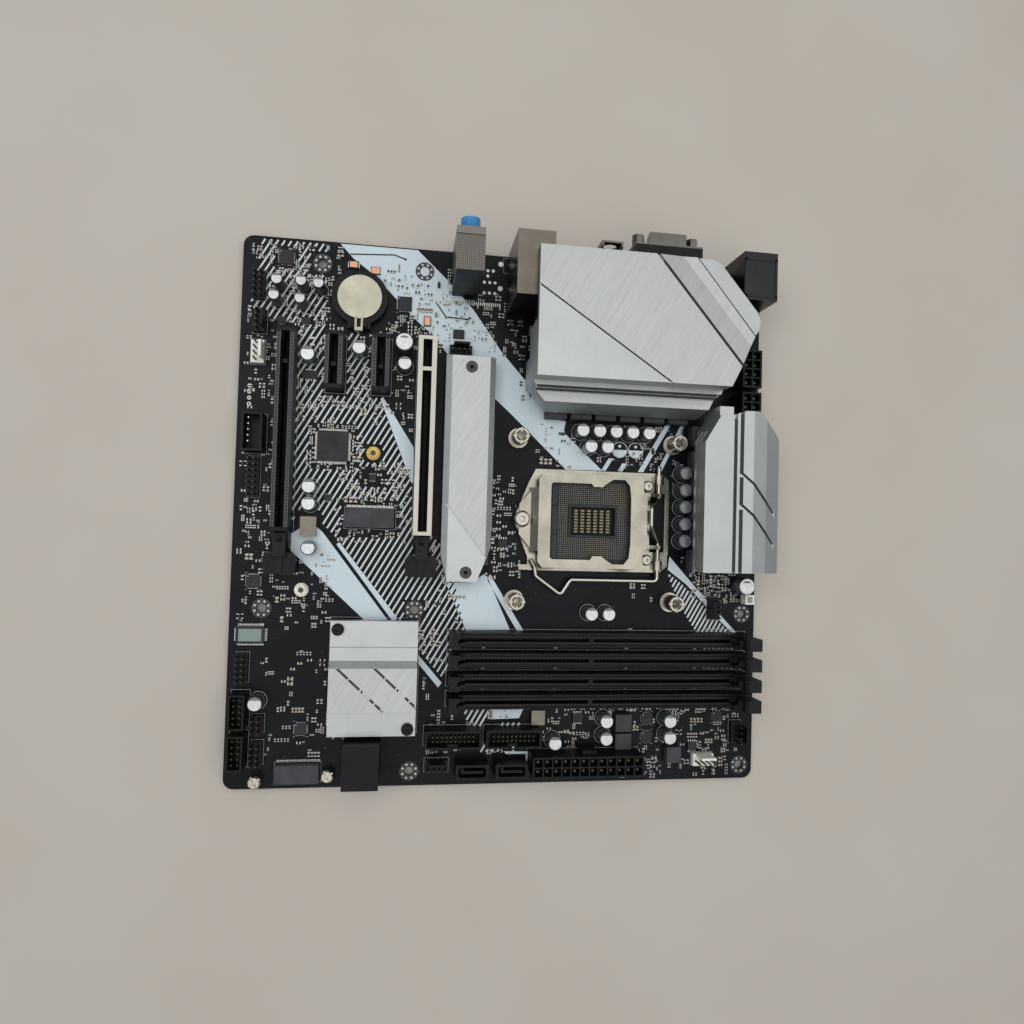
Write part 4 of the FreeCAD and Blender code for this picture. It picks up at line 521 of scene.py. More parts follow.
silk, stripes, clear_print = Pieces(), Pieces(), Pieces()
for band in BANDS:
    silk.flat(band, INK)
SLOPE = math.radians(60.2)
WAY = (math.cos(SLOPE), math.sin(SLOPE))
ACROSS = (-WAY[1], WAY[0])
for region, pitch, width in HATCHES:
    spread = [x * ACROSS[0] + y * ACROSS[1] for x, y in region]
    step = math.ceil(min(spread) / pitch)
    while step * pitch < max(spread):
        base = (ACROSS[0] * step * pitch, ACROSS[1] * step * pitch)
        cuts = crossings(region, base, WAY)
        for start, end in zip(cuts[::2], cuts[1::2]):
            spans = [(start, end)]
            for cx, cy, hx, hy in CLEAR:
                block = [(cx - hx, cy - hy), (cx + hx, cy - hy), (cx + hx, cy + hy), (cx - hx, cy + hy)]
                hole = crossings(block, base, WAY)
                if len(hole) < 2:
                    continue
                spans = [part for a, b in spans for part in ((a, min(b, hole[0])), (max(a, hole[-1]), b))
                         if part[1] - part[0] > 0.5]
            for a, b in spans:
                stripes.line((base[0] + WAY[0] * a, base[1] + WAY[1] * a),
                             (base[0] + WAY[0] * b, base[1] + WAY[1] * b), width, INK)
        step += 1
silk.make("printed_bands", "silk", "white_plastic")
stripes.make("printed_hatching", "hatch", "white_plastic")

# lines of bare board inside the big band, and a bare ring round each mounting hole
for path in ([(46.2, 238.9), (65.9, 240.2), (71.0, 238.6)], [(85.2, 220.2), (90.2, 213.4), (100.4, 213.0)]):
    for a, b in zip(path, path[1:]):
        clear_print.line(a, b, 0.7, OVER)
    clear_print.disc(*path[-1], 0.6, INK, OVER, 8)
HOLES = [(34.29, 233.68), (80.01, 233.68), (13.4, 78.74), (80.01, 78.74), (237.49, 78.74), (80.01, 6.35),
         (237.49, 6.35)]
HOLE_R, KEEP_R, PADS_R = 2.1, 4.3, 3.15     # a hole, the bare ring round it, the circle of its eight pads
bare = Pieces()
for x, y in HOLES:
    clear_print.ring(x, y, HOLE_R, KEEP_R, OVER)
    for k in range(8):
        angle = math.radians(45 * k + 22)
        px, py = x + PADS_R * math.cos(angle), y + PADS_R * math.sin(angle)
        for z0, z1 in ((OVER - 0.01, OVER + 0.03), (-BOARD_T - 0.04, -BOARD_T)):
            bare.disc(px, py, 0.5, z0, z1, 8)
clear_print.make("bare_mask_over_print", "mask_print", "board_mask")


# ---------------- where parts already stand
CELL = 0.5                              # grid of occupied places, in millimetres
SIDE = int(BOARD / CELL) + 1
EDGE = 1.0                              # strip along the board's edge that stays empty


class Grid:
    """Occupied places on one side of the board."""

    def __init__(self, low, high):
        self.busy = np.zeros((SIDE, SIDE), bool)
        for node, obj in NODES.items():
            if node != "circuit_board":
                self.cover(obj, low, high)

    def cover(self, obj, low, high):
        """Mark every level face of a node between two heights."""
        mesh = obj.data
        mesh.calc_loop_triangles()
        count = len(mesh.loop_triangles)
        corner = np.empty(count * 3, int)
        normal = np.empty(count * 3)
        mesh.loop_triangles.foreach_get("vertices", corner)
        mesh.loop_triangles.foreach_get("normal", normal)
        place = np.empty(len(mesh.vertices) * 3)
        mesh.vertices.foreach_get("co", place)
        turn, shift = np.array(obj.matrix_world.to_3x3()), np.array(obj.matrix_world.translation)
        board = (place.reshape(-1, 3) @ turn.T + shift) / MM + np.array(ORIGIN)
        tri = board[corner.reshape(-1, 3)]
        level = np.abs(normal.reshape(-1, 3)[:, 2]) > 0.9
        near = (tri[:, :, 2].min(axis=1) > low) & (tri[:, :, 2].max(axis=1) < high)
        for t in tri[level & near]:
            self.mark(t[:, 0].min(), t[:, 1].min(), t[:, 0].max(), t[:, 1].max())

    def cells(self, x0, y0, x1, y1):
        """Slices of the grid under a rectangle."""
        return (slice(max(0, int(x0 / CELL)), min(SIDE, int(x1 / CELL) + 1)),
                slice(max(0, int(y0 / CELL)), min(SIDE, int(y1 / CELL) + 1)))

    def mark(self, x0, y0, x1, y1):
        """Occupy a rectangle."""
        self.busy[self.cells(x0, y0, x1, y1)] = True

    def free(self, x0, y0, x1, y1):
        """Whether a rectangle is free and on the board."""
        if min(x0, y0) < EDGE or max(x1, y1) > BOARD - EDGE:
            return False
        return not self.busy[self.cells(x0, y0, x1, y1)].any()


top_side = Grid(-0.2, 2.6)
under_side = Grid(-4.2, -1.4)
half = KEEP_R + 0.1
for x, y in HOLES:
    for grid in (top_side, under_side):
        grid.mark(x - half, y - half, x + half, y + half)

# ---------------- small surface parts
# length, width, height, length of each end cap, body
KINDS = {
    "tiny_cap": (1.0, 0.5, 0.5, 0.24, "ceramic"), "cap": (1.6, 0.8, 0.8, 0.32, "ceramic"),
    "big_cap": (2.0, 1.25, 1.1, 0.4, "ceramic"), "tiny_res": (1.0, 0.5, 0.35, 0.2, "epoxy"),
    "res": (1.6, 0.8, 0.45, 0.3, "epoxy"), "light": (1.6, 0.8, 0.6, 0.35, "white"),
}
BODY_SLOTS = {"ceramic": "ceramic", "epoxy": "chip_epoxy", "white": "white_plastic"}
bodies = {name: Pieces() for name in BODY_SLOTS}
small_ends, small_leads, marks = Pieces(), Pieces(), Pieces()
SEED, CHIP_SHARE, MARK_SHARE = 41, 0.05, 0.3
GAP = 0.2                               # least space round a small part
rng = random.Random(SEED)


def small_part(x, y, kind, upright, grid=top_side, under=False):
    """Two-ended surface part on its pads, and whether its place was free for it."""
    length, width, height, end, body = KINDS[kind]
    hx, hy = (width / 2, length / 2) if upright else (length / 2, width / 2)
    if not grid.free(x - hx - GAP, y - hy - GAP, x + hx + GAP, y + hy + GAP):
        return False
    grid.mark(x - hx, y - hy, x + hx, y + hy)
    sign, base = (-1, -BOARD_T) if under else (1, 0.0)
    for side in (-1, 1):
        ex, ey = (0, side * (hy - end / 2)) if upright else (side * (hx - end / 2), 0)
        lx, ly = (width, end) if upright else (end, width)
        cap, pad = (lx, ly, height + 0.01, ex, ey), (lx + 0.24, ly + 0.3, 0.07, ex * 1.12, ey * 1.12)
        for wide, deep, tall, ox, oy in (cap, pad):
            small_ends.block(x + ox, y + oy, wide, deep, *sorted((base, base + sign * tall)))
    lx, ly = (width - 0.04, length - 2 * end) if upright else (length - 2 * end, width - 0.04)
    bodies[body].block(x, y, lx, ly, *sorted((base, base + sign * height)))
    return True


def gull_leads(x, y, lx, ly, count, pitch, reach, width, along_x, top=0.55):
    """Leads along the two sides of a part."""
    for side in (-1, 1):
        for k in range(count):
            t = (k - (count - 1) / 2) * pitch
            for length, tall in ((reach, 0.16), (reach * 0.32, top)):
                if along_x:
                    small_leads.block(x + t, y + side * (ly + length) / 2, width, length, 0.0, tall)
                else:
                    small_leads.block(x + side * (lx + length) / 2, y + t, length, width, 0.0, tall)


def little_chip(x, y, upright, legs):
    """Black part with three or eight legs, if its place is free."""
    lx, ly, top, dot, count, pitch = (3.9, 4.9, 1.5, 1.515, 4, 1.27)
    if legs == 3:
        lx, ly, top, dot, count, pitch = (1.3, 2.9, 1.05, 1.06, 2, 1.9)
    if not upright:
        lx, ly = ly, lx
    hx, hy = lx / 2, ly / 2
    if not top_side.free(x - hx - 1.0, y - hy - 1.0, x + hx + 1.0, y + hy + 1.0):
        return
    top_side.mark(x - hx - 0.8, y - hy - 0.8, x + hx + 0.8, y + hy + 0.8)
    bodies["epoxy"].block(x, y, lx, ly, 0.08, top, 0.12)
    gull_leads(x, y, lx, ly, count, pitch, 0.75, 0.4, not upright)
    marks.disc(x - hx + 0.6, y + hy - 0.6, 0.22, 1.0 if legs == 3 else 1.49, dot, 8)


WEIGHTS = ["tiny_cap"] * 4 + ["tiny_res"] * 5 + ["cap"] * 4 + ["res"] * 3 + ["big_cap"]
# x0, y0, x1, y1, groups of small parts
CLUSTERS = [
    (3, 205, 42, 241, 230), (31, 141, 54, 163, 90), (60, 200, 102, 233, 190), (88, 196, 128, 224, 110),
    (3, 70, 42, 104, 90), (14, 8, 44, 64, 50), (112, 94, 138, 140, 170), (138, 2, 236, 34, 330),
    (211, 84, 236, 99, 130), (44, 108, 76, 144, 130), (24, 160, 82, 204, 170), (3, 104, 22, 200, 190),
    (134, 139, 200, 170, 110), (196, 98, 210, 168, 30), (170, 69, 200, 96, 6), (84, 9, 140, 40, 60),
    (126, 176, 142, 232, 90), (82, 44, 100, 108, 50),
]
for x0, y0, x1, y1, count in CLUSTERS:
    for _ in range(count):
        x, y = rng.uniform(x0, x1), rng.uniform(y0, y1)
        kind = rng.choice(WEIGHTS)
        upright = rng.random() < 0.5
        run = rng.choice((1, 1, 2, 2, 3, 4, 5))
        step = KINDS[kind][1] + rng.choice((0.45, 0.6, 0.9))
        if rng.random() < CHIP_SHARE:
            little_chip(x, y, upright, rng.choice((3, 3, 8)))
            continue
        for k in range(run):
            px, py = (x + step * k, y) if upright else (x, y + step * k)
            if not small_part(round(px, 2), round(py, 2), kind, upright):
                break
        if rng.random() < MARK_SHARE:
            tx, ty = (x - 0.4, y + 1.5) if upright else (x + 1.6, y)
            for k in range(rng.choice((2, 3, 4))):
                left = tx + 0.55 * k
                if top_side.free(left, ty - 0.1, left + 0.3, ty + 0.7):
                    right = left + 0.34
                    marks.flat([(left, ty), (right, ty), (right, ty + 0.7), (left, ty + 0.7)], OVER)

# rows of larger parts: start, step, count, kind, upright
ROWS = [
    ((142.0, 168.4), (5.9, 0.0), 11, "big_cap", True), ((114.6, 101.0), (0.0, 3.1), 12, "cap", False),
    ((117.4, 101.0), (0.0, 3.1), 12, "cap", False), ((144.0, 139.4), (3.4, 0.0), 12, "big_cap", True),
    ((146.0, 101.6), (3.1, 0.0), 11, "cap", True), ((212.0, 94.0), (2.6, 0.0), 8, "cap", True),
    ((31.0, 199.6), (0.0, -3.0), 3, "light", False), ((155.0, 33.8), (4.6, 0.0), 15, "cap", False),
    ((33.2, 144.0), (0.0, 2.1), 8, "tiny_cap", False), ((50.2, 144.0), (0.0, 2.1), 8, "tiny_cap", False),
    ((35.0, 160.4), (2.1, 0.0), 7, "tiny_cap", True), ((35.0, 142.4), (2.1, 0.0), 7, "tiny_cap", True),
    ((100.0, 40.0), (6.4, 0.0), 6, "light", False),
]
for (x, y), (sx, sy), count, kind, upright in ROWS:
    for k in range(count):
        small_part(x + sx * k, y + sy * k, kind, upright)

# small parts between the memory slots
MEMORY_ROWS = [66.7 - 9.3 * index for index in range(4)]
for y in MEMORY_ROWS:
    for k in range(4):
        small_part(112.0 + 34.0 * k, y - 4.7, "tiny_cap", False)
    for k in range(7):
        small_part(219.0 + 2.3 * k, y + 4.65, "tiny_cap", False)

# bare pads: legs behind the audio jacks, a row in front of them, test points, two empty places
for x, y in ((115, 240), (119.5, 240), (115, 228.5), (119.5, 228.5)):
    bare.disc(x, y, 1.2, 0, 0.05, 14)
for x, y in ((109, 236.5), (111.5, 236.5), (109, 234), (107.5, 231), (110, 231), (112.5, 231), (107.5, 226),
             (110, 226), (112.5, 226)):
    bare.disc(x, y, 0.75, 0, 0.05, 12)
for k in range(26):
    bare.block(90.0 + k, 220.6, 0.55, 1.5, OVER, OVER + 0.04)
for k in range(4):
    bare.ring(4.8, 176.7 - 2.7 * k, 0.45, 0.85, OVER)
half_rounds = Pieces()
for x, y in ((174.4, 155.8), (182.3, 155.8)):
    bare.ring(x, y, 3.5, 3.8, OVER)
    half_rounds.ring(x, y, 0.0, 3.4, OVER - 0.01, 28, 180.0, 180.0)
    for side in (-1, 1):
        bare.disc(x, y + side * 1.75, 0.75, 0, 0.06, 12)

# square chips with leads on four sides: centre, size, leads on a side
SQUARE = [(18.6, 235.0, 6.5, 10), (71.3, 217.9, 6.5, 10), (9.6, 90.5, 6.0, 9), (32.0, 25.8, 5.4, 8),
          (190.6, 29.0, 5.2, 8), (190.6, 20.4, 5.2, 8), (225.6, 29.6, 5.0, 8)]
for x, y, size, count in SQUARE:
    for turn in (True, False):
        gull_leads(x, y, size, size, count, 0.5, 0.3, 0.24, turn, 0.18)
    half = size / 2
    marks.disc(x - half + 0.8, y + half - 0.8, 0.3, 0.9, 1.02, 8)
    for a in (-1, 1):
        for b in (1, -1):
            level = y + b * (half + 0.7)
            marks.line((x + a * (half + 0.7), level), (x + a * (half - 0.4), level), 0.15, OVER)

# the large controller and the labelled chip, then chips with leads on two sides
for turn in (True, False):
    gull_leads(41.6, 151.4, 13.6, 13.6, 26, 0.48, 1.0, 0.22, turn, 0.8)
    gull_leads(9.4, 67.2, 12.0, 7.6, 16 if turn else 8, 0.7, 0.9, 0.34, turn, 1.1)
for x, y, lx, ly in ((96.3, 205.6, 5.0, 4.0), (30.6, 182.9, 6.6, 3.6), (157.0, 29.6, 4.6, 4.2),
                     (213.4, 15.8, 4.0, 4.0), (119.4, 110.0, 4.2, 4.0)):
    gull_leads(x, y, lx, ly, 4, 1.1, 0.8, 0.42, True)
for x, y, lx, ly in ((17.5, 206.6, 4.0, 3.0), (28.0, 207.1, 4.0, 3.0), (59.5, 138.1, 3.0, 3.0),
                     (40.3, 128.3, 3.0, 3.0)):
    gull_leads(x, y, lx, ly, 5, 0.6, 0.3, 0.26, True, 0.18)
for x, y in ((48.0, 234.0), (57.8, 232.0)):
    gull_leads(x, y, 4.4, 3.2, 1, 1.0, 0.35, 2.4, False, 0.9)
for count, x0, y0 in ((38, 48.7, 124.9), (34, 22.6, 11.9)):
    for k in range(count):
        small_leads.block(x0 + 0.55 * k, y0, 0.28, 1.1, 0.0, 0.22)

# painted shade over the holes of two posts, copper tops, a chip's label
hole_shade = Pieces()
for x, y in ((59.5, 149.0), (30.2, 87.1)):
    # dark disc over each post's bore: painted shade standing in for the dark hole
    hole_shade.disc(x, y, 1.2, 2.39, 2.42, 16)
hole_shade.make("post_hole_shade_painted", "groove", "black_screw")
tops = Pieces()
for x, y, lx, ly in ((48.0, 234.0, 3.4, 2.6), (57.8, 232.0, 3.9, 2.8), (81.8, 210.6, 2.6, 3.8)):
    tops.block(x, y, lx, ly, 1.09, 1.16, 0.05)
tops.make("copper_chip_tops", "copper", "ceramic")
half_rounds.make("empty_place_marks", "silk", "white_plastic")
label = Pieces()
label.block(9.4, 67.2, 9.6, 5.4, 2.19, 2.23)
label.make("chip_label", "tag", "white_plastic")
for name, piece in bodies.items():
    piece.make("small_bodies_" + name, name, BODY_SLOTS[name])
small_ends.make("small_part_ends", "tin", "solder")

# pins of the keyed header on the left
for k in range(5):
    small_leads.block(6.5, 161.5 - PITCH * k, 0.64, 0.64, 1.6, 7.9, 0.1)
small_leads.make("chip_leads", "lead", "solder")

# ---------------- slots
SLOT_H = 11.2
SLOT_REAR = 200.9                       # rear end of every card slot
KEY_Y = SLOT_REAR - 14.4                # the bar across each slot
SLOTS = [(82.2, 113.0, True), (61.88, 175.9, False), (41.56, 175.9, False), (21.24, 113.0, False)]
# the ribs and rims are real parts of the black slots; their grey colour is painted highlight
ribs, fingers, rims = Pieces(), Pieces(), Pieces()
low, high = SLOT_H - 1.36, SLOT_H - 0.06
for x, front, jacket in SLOTS:
    y = front + 2.2
    while y < 199.0:
        for side in (-1, 1):
            if abs(y - KEY_Y) > 1.3:
                inner, outer = x + side * 0.93, x + side * 1.84
                fingers.add([(inner, y - 0.22, low), (inner, y + 0.22, low), (outer, y + 0.22, high),
                             (outer, y - 0.22, high)], [(0, 1, 2, 3)])
            if not jacket:
                ribs.block(x + side * 2.83, y, 1.3, 0.34, SLOT_H - 0.02, SLOT_H + 0.1)
                ribs.block(x + side * 3.76, y, 0.14, 0.5, 0.6, SLOT_H - 0.8)
        y += 1.0
    if not jacket:
        for side in (-1, 1):
            for offset in (2.15, 3.5):
                rims.block(x + side * offset, (front + SLOT_REAR) / 2, 0.2, 197.5 - front,
                           SLOT_H - 0.02, SLOT_H + 0.1)
key_cap = Pieces()
key_cap.block(82.2, KEY_Y, 3.9, 1.7, SLOT_H + 0.1, SLOT_H + 0.3)
key_cap.make("armor_key_bar", "armor", "plated_steel")
fingers.make("slot_fingers", "gold", "solder")
ribs.make("slot_ribs", "rib", "black_plastic")
rims.make("slot_rims", "rib", "black_plastic")

dots, tabs = Pieces(), Pieces()
for y in MEMORY_ROWS:
    x = 101.5
    while x < 228.5:
        for side in (-1, 1):
            if abs(x - 161.0) > 1.6:
                dots.block(x, y + side * 1.3, 0.3, 0.5, 7.96, 8.03)
                tabs.block(x, y + side * 3.24, 0.34, 0.14, 0.5, 7.0)
        x += 1.7
dots.make("memory_slot_fingers", "gold", "solder")
tabs.make("memory_slot_ribs", "black_soft", "black_plastic")

# ---------------- print round capacitors, headers and sockets
CANS = [(30.1, 190.8), (52.1, 195.0), (72.3, 189.2), (32.6, 132.8), (32.7, 125.3), (33.3, 105.9),
        (13.5, 38.5), (145.3, 19.9), (169.2, 29.5), (169.2, 21.6), (199.7, 29.3), (199.7, 21.7),
        (160.8, 78.6), (169.0, 78.6), (158.6, 156.0), (166.5, 156.0), (71.8, 198.6), (235.9, 92.6)]
CANS += [(154.6 + 7.95 * i, 163.3) for i in range(5)] + [(205.0, 145.3 - 8.0 * i) for i in range(5)]
AUDIO_CANS = [(16.5, 221.7), (26.7, 221.8), (34.1, 221.3), (15.5, 214.8), (26.4, 214.1)]
TALL_CANS = [(71.8, 198.6), (235.9, 92.6)]
ARC = [math.radians(38 + 104 * k / 8) for k in range(9)]
polarity = Pieces()
for places, ring_r, mark_r, top in ((CANS, 3.75, 2.7, 8.0), (AUDIO_CANS, 3.05, 2.05, 11.0)):
    for x, y in places:
        marks.ring(x, y, ring_r, ring_r + 0.2, OVER)
        z = 8.6 if (x, y) in TALL_CANS else top
        polarity.flat([(x + mark_r * math.cos(a), y + mark_r * math.sin(a)) for a in ARC], z + 0.02)
polarity.make("capacitor_marks", "polarity", "can_aluminium")

# outlines round headers, sockets and slots: x0, y0, x1, y1
FRAMES = [
    (10.9, 10.6, 16.6, 21.4), (10.9, 24.6, 16.6, 32.8), (3.6, 46.3, 9.3, 59.6), (5.2, 127.3, 10.9, 145.7),
    (4.8, 214.6, 10.5, 227.9), (2.0, 27.0, 10.1, 43.2), (2.0, 9.6, 10.1, 25.8), (85.8, 17.7, 112.0, 26.9),
    (113.1, 17.7, 139.3, 26.9), (133.6, 5.2, 186.8, 15.6), (5.0, 200.0, 11.4, 211.0),
    (92.0, 194.2, 103.0, 200.6), (86.6, 5.8, 97.6, 12.2), (219.2, 75.8, 225.6, 86.8),
    (231.8, 16.8, 238.2, 27.8), (212.9, 6.5, 223.9, 12.9), (4.8, 186.2, 11.2, 197.2),
    (116.2, 236.0, 121.2, 243.0), (47.6, 114.8, 70.4, 124.6), (21.4, 2.4, 41.4, 11.5),
    (43.2, 23.6, 82.8, 75.2), (3.2, 146.6, 13.0, 164.4),
]
FRAMES += [(95.2, y - 3.7, 239.2, y + 3.7) for y in MEMORY_ROWS]
FRAMES += [(x - 4.5, front - 0.6, x + 4.5, SLOT_REAR + 0.6) for x, front, _ in SLOTS]
for frame_box in FRAMES:
    marks.rect(*frame_box, 0.16, OVER)
for k in range(5):
    marks.line((45.9 + 4.4 * k, 21.2), (47.0 + 4.4 * k, 22.9), 0.8, OVER)
marks.make("fine_marks", "fine_silk", "white_plastic")
bare.make("bare_pads", "tin", "solder")

# ---------------- painted shade and bridges in the chipset heatsink's slots
PANEL_Z, SLOT_DEEP = 10.4, 1.3
shadow, bridges = Pieces(), Pieces()
for start, end in (((47.2, 54.6), (67.8, 35.4)), ((63.2, 54.6), (82.6, 36.5))):
    dx, dy = end[0] - start[0], end[1] - start[1]
    size = math.hypot(dx, dy)
    nx, ny = -dy / size * 0.5, dx / size * 0.5

    def strip(a, b):
        """Outline of the slot between two shares of its length."""
        ax, ay, bx, by = start[0] + dx * a, start[1] + dy * a, start[0] + dx * b, start[1] + dy * b
        return [(ax + nx, ay + ny), (ax - nx, ay - ny), (bx - nx, by - ny), (bx + nx, by + ny)]

    # dark flat on each slot's floor: painted shade
    shadow.flat(strip(0.03, 0.94), PANEL_Z - SLOT_DEEP + 0.03)
    for a, b in ((0.25, 0.275), (0.5, 0.53), (0.56, 0.72), (0.8, 0.83)):
        bridges.prism(strip(a, b), PANEL_Z - SLOT_DEEP, PANEL_Z - 0.06)
shadow.make("heatsink_slot_shade_painted", "slot_shade_painted", "black_screw")
bridges.make("heatsink_slot_bridges", "chipset", "silver_aluminium")

# ---------------- painted shade in the long grooves
paint = Pieces()
for start, end, width, z in (
        ((181.4, 233.8), (218.6, 190.5), 1.26, 34.6), ((198.6, 234.8), (223.6, 204.9), 0.76, 34.0),
        ((128.0, 219.4), (185.6, 181.84), 0.7, 35.3), ((219.5, 100.1), (219.5, 169.0), 1.54, 26.2),
        ((129.5, 179.15), (212.2, 179.15), 0.9, 23.7), ((129.5, 178.35), (212.2, 178.35), 0.9, 20.9),
        ((222.5, 144.4), (222.5, 171.6), 1.74, 26.2), ((222.5, 130.6), (222.5, 142.4), 1.74, 26.2),
        ((222.5, 100.1), (222.5, 128.0), 1.74, 26.2), ((222.4, 144.7), (228.7, 139.7), 1.14, 26.2),
        ((222.4, 130.6), (228.7, 125.6), 1.14, 26.2), ((228.7, 139.7), (239.5, 126.94), 1.14, 24.3),
        ((228.7, 125.6), (239.5, 112.84), 1.14, 24.3)):
    # dark flat lines on the groove floors and ledges: painted shade
    paint.line(start, end, width, z + 0.02)
paint.make("heatsink_groove_shade_painted", "groove", "black_screw")

# ---------------- springs and folds on the port shells
springs, slits = Pieces(), Pieces()
SPRING_Y, SHELL_TOP = 232.0, 16.6
for x in (141.2, 148.6):
    springs.prism([(x - 1.1, SPRING_Y - 4.5), (x + 1.1, SPRING_Y - 4.5), (x + 0.8, SPRING_Y + 4.5),
                   (x - 0.8, SPRING_Y + 4.5)], SHELL_TOP - 0.02, SHELL_TOP + 0.28, 0.35)
    for side in (-1, 1):
        slits.block(x + side * 1.35, SPRING_Y, 0.22, 9.6, SHELL_TOP - 0.01, SHELL_TOP + 0.015)
    slits.block(x, SPRING_Y - 4.85, 2.9, 0.22, SHELL_TOP - 0.01, SHELL_TOP + 0.015)
rim = Pieces()
for x0, y0, x1, y1 in ((221.9, 224.0, 222.9, 241.5), (236.2, 224.0, 237.2, 241.5),
                       (221.9, 240.5, 237.2, 241.5), (221.9, 224.0, 237.2, 225.0)):
    rim.box(x0, y0, 28.78, x1, y1, 29.1)
rim.make("port_rim", "dark_sheet", "shield_metal")
springs.make("shell_springs", "nickel", "shield_metal")
slits.make("shell_slits", "black", "dark_steel")

# ---------------- underside
LOW = -BOARD_T
joints = Pieces()


def joint(x, y, radius, height):
    """Small solder cone under a lead, if its place is free."""
    if not under_side.free(x - radius, y - radius, x + radius, y + radius):
        return
    foot = [(px, py, LOW + 0.01) for px, py in circle(x, y, radius, 6)]
    waist = [(px, py, LOW - height * 0.45) for px, py in circle(x, y, radius * 0.55, 6)]
    joints.add(foot + waist + [(x, y, LOW - height)],
               [(i, 6 + i, 6 + (i + 1) % 6, (i + 1) % 6) for i in range(6)]
               + [(6 + i, 12, 6 + (i + 1) % 6) for i in range(6)])


for x, front, _ in SLOTS:
    for k in range(int(SLOT_REAR - front) - 4):
        for offset in (1.6 - 0.8 * (k % 2), -1.0 + 0.8 * (k % 2)):
            joint(x + offset, front + 2.5 + k, 0.36, 0.7)
for y in MEMORY_ROWS:
    for k in range(144):
        for row in (-1, 1):
            joint(100.5 + 0.85 * k, y + row * (1.1 + 1.3 * (k % 2)), 0.34, 0.7)

# pins of the connectors and headers: columns, rows, first pin, pitch
for columns, rows, x0, y0, pitch in (
        (12, 2, 136.5, 8.0, 4.2), (2, 4, 231.8, 188.7, 4.2), (2, 2, 231.8, 177.1, 4.2),
        (2, 4, 12.5, 12.2, PITCH), (2, 3, 12.5, 26.2, PITCH), (2, 5, 5.2, 47.9, PITCH),
        (2, 7, 6.8, 128.9, PITCH), (2, 5, 6.4, 216.2, PITCH), (10, 2, 89.9, 21.3, 2.0),
        (10, 2, 117.2, 21.3, 2.0), (2, 5, 4.8, 30.0, PITCH), (2, 5, 4.8, 12.6, PITCH),
        (7, 2, 102.0, 6.4, 1.27), (7, 2, 119.8, 6.4, 1.27), (7, 2, 53.8, 8.0, 1.27), (7, 2, 53.8, 15.0, 1.27),
        (4, 4, 121.0, 222.0, 2.2), (4, 2, 140.0, 230.0, 2.5), (5, 3, 179.0, 232.0, 2.3),
        (6, 2, 224.0, 228.0, 2.2), (3, 4, 94.6, 226.0, 3.6)):
    for i in range(columns):
        for j in range(rows):
            joint(x0 + pitch * i, y0 + pitch * j, min(1.0, pitch * 0.3), 1.2)
for places, apart, radius in ((CANS, 1.75, 0.8), (AUDIO_CANS, 1.0, 0.7)):
    for x, y in places:
        for side in (-1, 1):
            joint(x, y + side * apart, radius, 1.1)
joints.make("underside_solder", "tin", "solder")

bodies = {name: Pieces() for name in ("ceramic", "epoxy")}
small_ends = Pieces()
for x0, y0, x1, y1, count in ((150, 108, 178, 136, 70), (138, 170, 214, 204, 90), (214, 100, 238, 170, 60),
                              (14, 205, 60, 236, 30), (46, 30, 80, 70, 40), (140, 16, 210, 30, 40),
                              (86, 110, 112, 190, 30), (28, 130, 70, 170, 30)):
    for _ in range(count):
        x, y = rng.uniform(x0, x1), rng.uniform(y0, y1)
        kind = rng.choice(("tiny_cap", "tiny_cap", "cap", "tiny_res", "res"))
        upright = rng.random() < 0.5
        for k in range(rng.choice((1, 2, 3, 4))):
            small_part(x + (1.3 * k if upright else 0), y + (0 if upright else 1.3 * k), kind, upright,
                       under_side, True)
for name, piece in bodies.items():
    piece.make("underside_bodies_" + name, name, BODY_SLOTS[name])
small_ends.make("underside_part_ends", "tin", "solder")
under_marks = Pieces()
for outline in ((95.2, 35.0, 239.2, 71.0), (16.7, 112.4, 25.7, 201.5), (77.7, 112.4, 86.7, 201.5),
                (133.6, 5.2, 186.8, 15.6), (108.0, 66.0, 218.0, 176.0)):
    under_marks.rect(*outline, 0.2, LOW - 0.03)
under_marks.make("underside_marks", "fine_silk", "white_plastic")

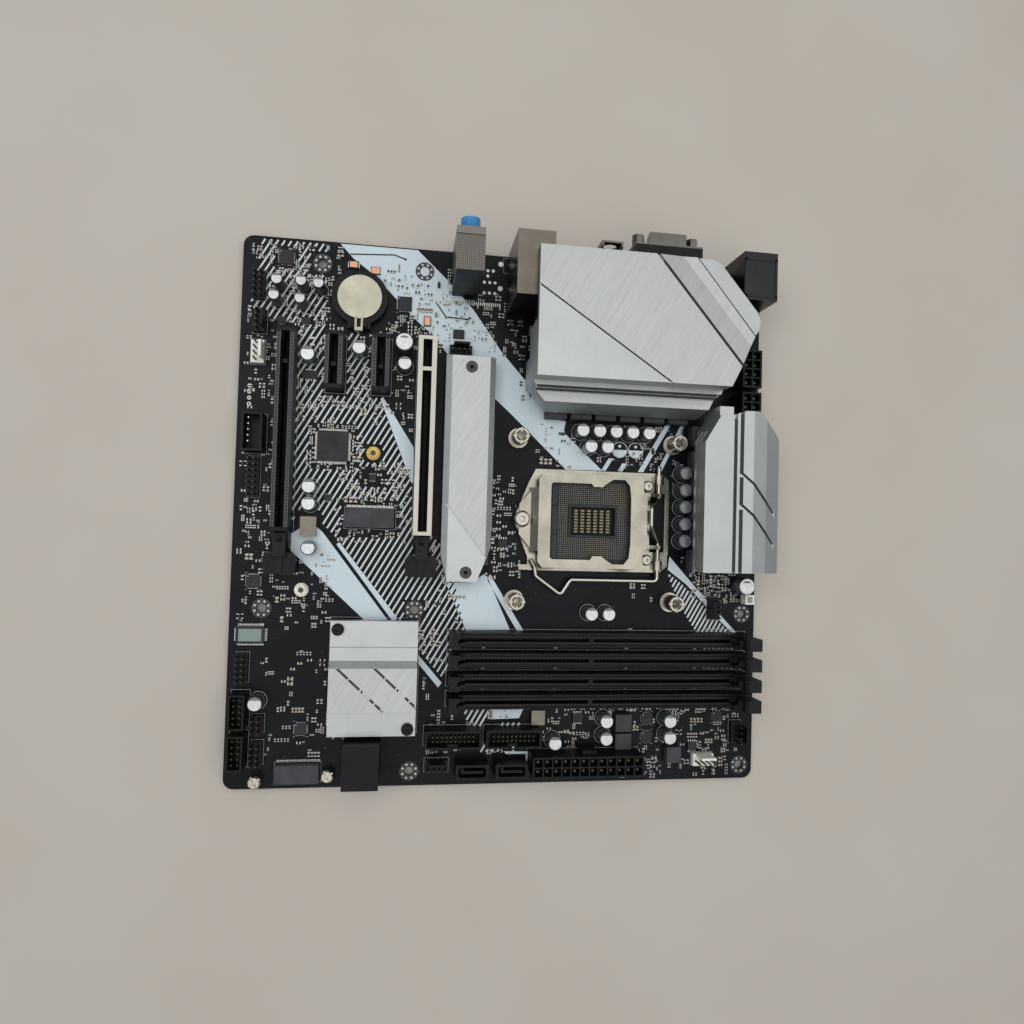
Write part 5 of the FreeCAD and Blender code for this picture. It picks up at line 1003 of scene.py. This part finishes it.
# ---------------- floor, light, camera
FLOOR_Z, FLOOR_HALF = -0.002, 3.0


def floor_finish():
    """Plain pale floor with a faint mottle."""
    s = Shader("pale_floor")
    cloud = s.noise(9.0, 4.0)
    return s.finish(s.mottled(cloud, rgb(178, 170, 160), rgb(184, 177, 167)), s.span(cloud, 0.6, 0.7),
                    s.noise(900.0, 2.0), 0.05, 0.0001)


mesh = bpy.data.meshes.new("floor")
mesh.from_pydata([(x * FLOOR_HALF, y * FLOOR_HALF, FLOOR_Z) for x, y in ((-1, -1), (1, -1), (1, 1), (-1, 1))],
                 [], [(0, 1, 2, 3)])
mesh.materials.append(floor_finish())
floor = bpy.data.objects.new("floor", mesh)
bpy.context.scene.collection.objects.link(floor)

world = bpy.data.worlds.new("soft_room")
bpy.context.scene.world = world
world.use_nodes = True
sky = world.node_tree.nodes["Background"]
sky.inputs["Color"].default_value = (0.86, 0.93, 1.0, 1.0)
sky.inputs["Strength"].default_value = 0.3


def lamp(name, place, aim, size, power, colour):
    """Square soft light that faces a point."""
    data = bpy.data.lights.new(name, "AREA")
    data.size = size
    data.energy = power
    data.color = colour
    made = bpy.data.objects.new(name, data)
    made.location = place
    made.rotation_euler = (Vector(aim) - Vector(place)).to_track_quat("-Z", "Y").to_euler()
    bpy.context.scene.collection.objects.link(made)


lamp("ceiling", (0.15, 0.05, 1.4), (0.1, -0.05, 0.0), 2.3, 23.0, (1.0, 0.985, 0.955))
lamp("window_side", (-0.62, 0.2, 1.0), (-0.05, -0.1, 0.0), 0.5, 2.2, (0.92, 0.96, 1.0))

camera_data = bpy.data.cameras.new("camera")
camera_data.sensor_width = 36.0
camera_data.lens = 25.085
camera_data.clip_start = 0.01
camera = bpy.data.objects.new("camera", camera_data)
camera.location = at(75.387, 115.311, 327.410)
camera.rotation_euler = Euler([math.radians(a) for a in (1.36432, -8.41013, 1.65289)])
bpy.context.scene.collection.objects.link(camera)
bpy.context.scene.camera = camera
bpy.context.scene.view_settings.view_transform = "Standard"
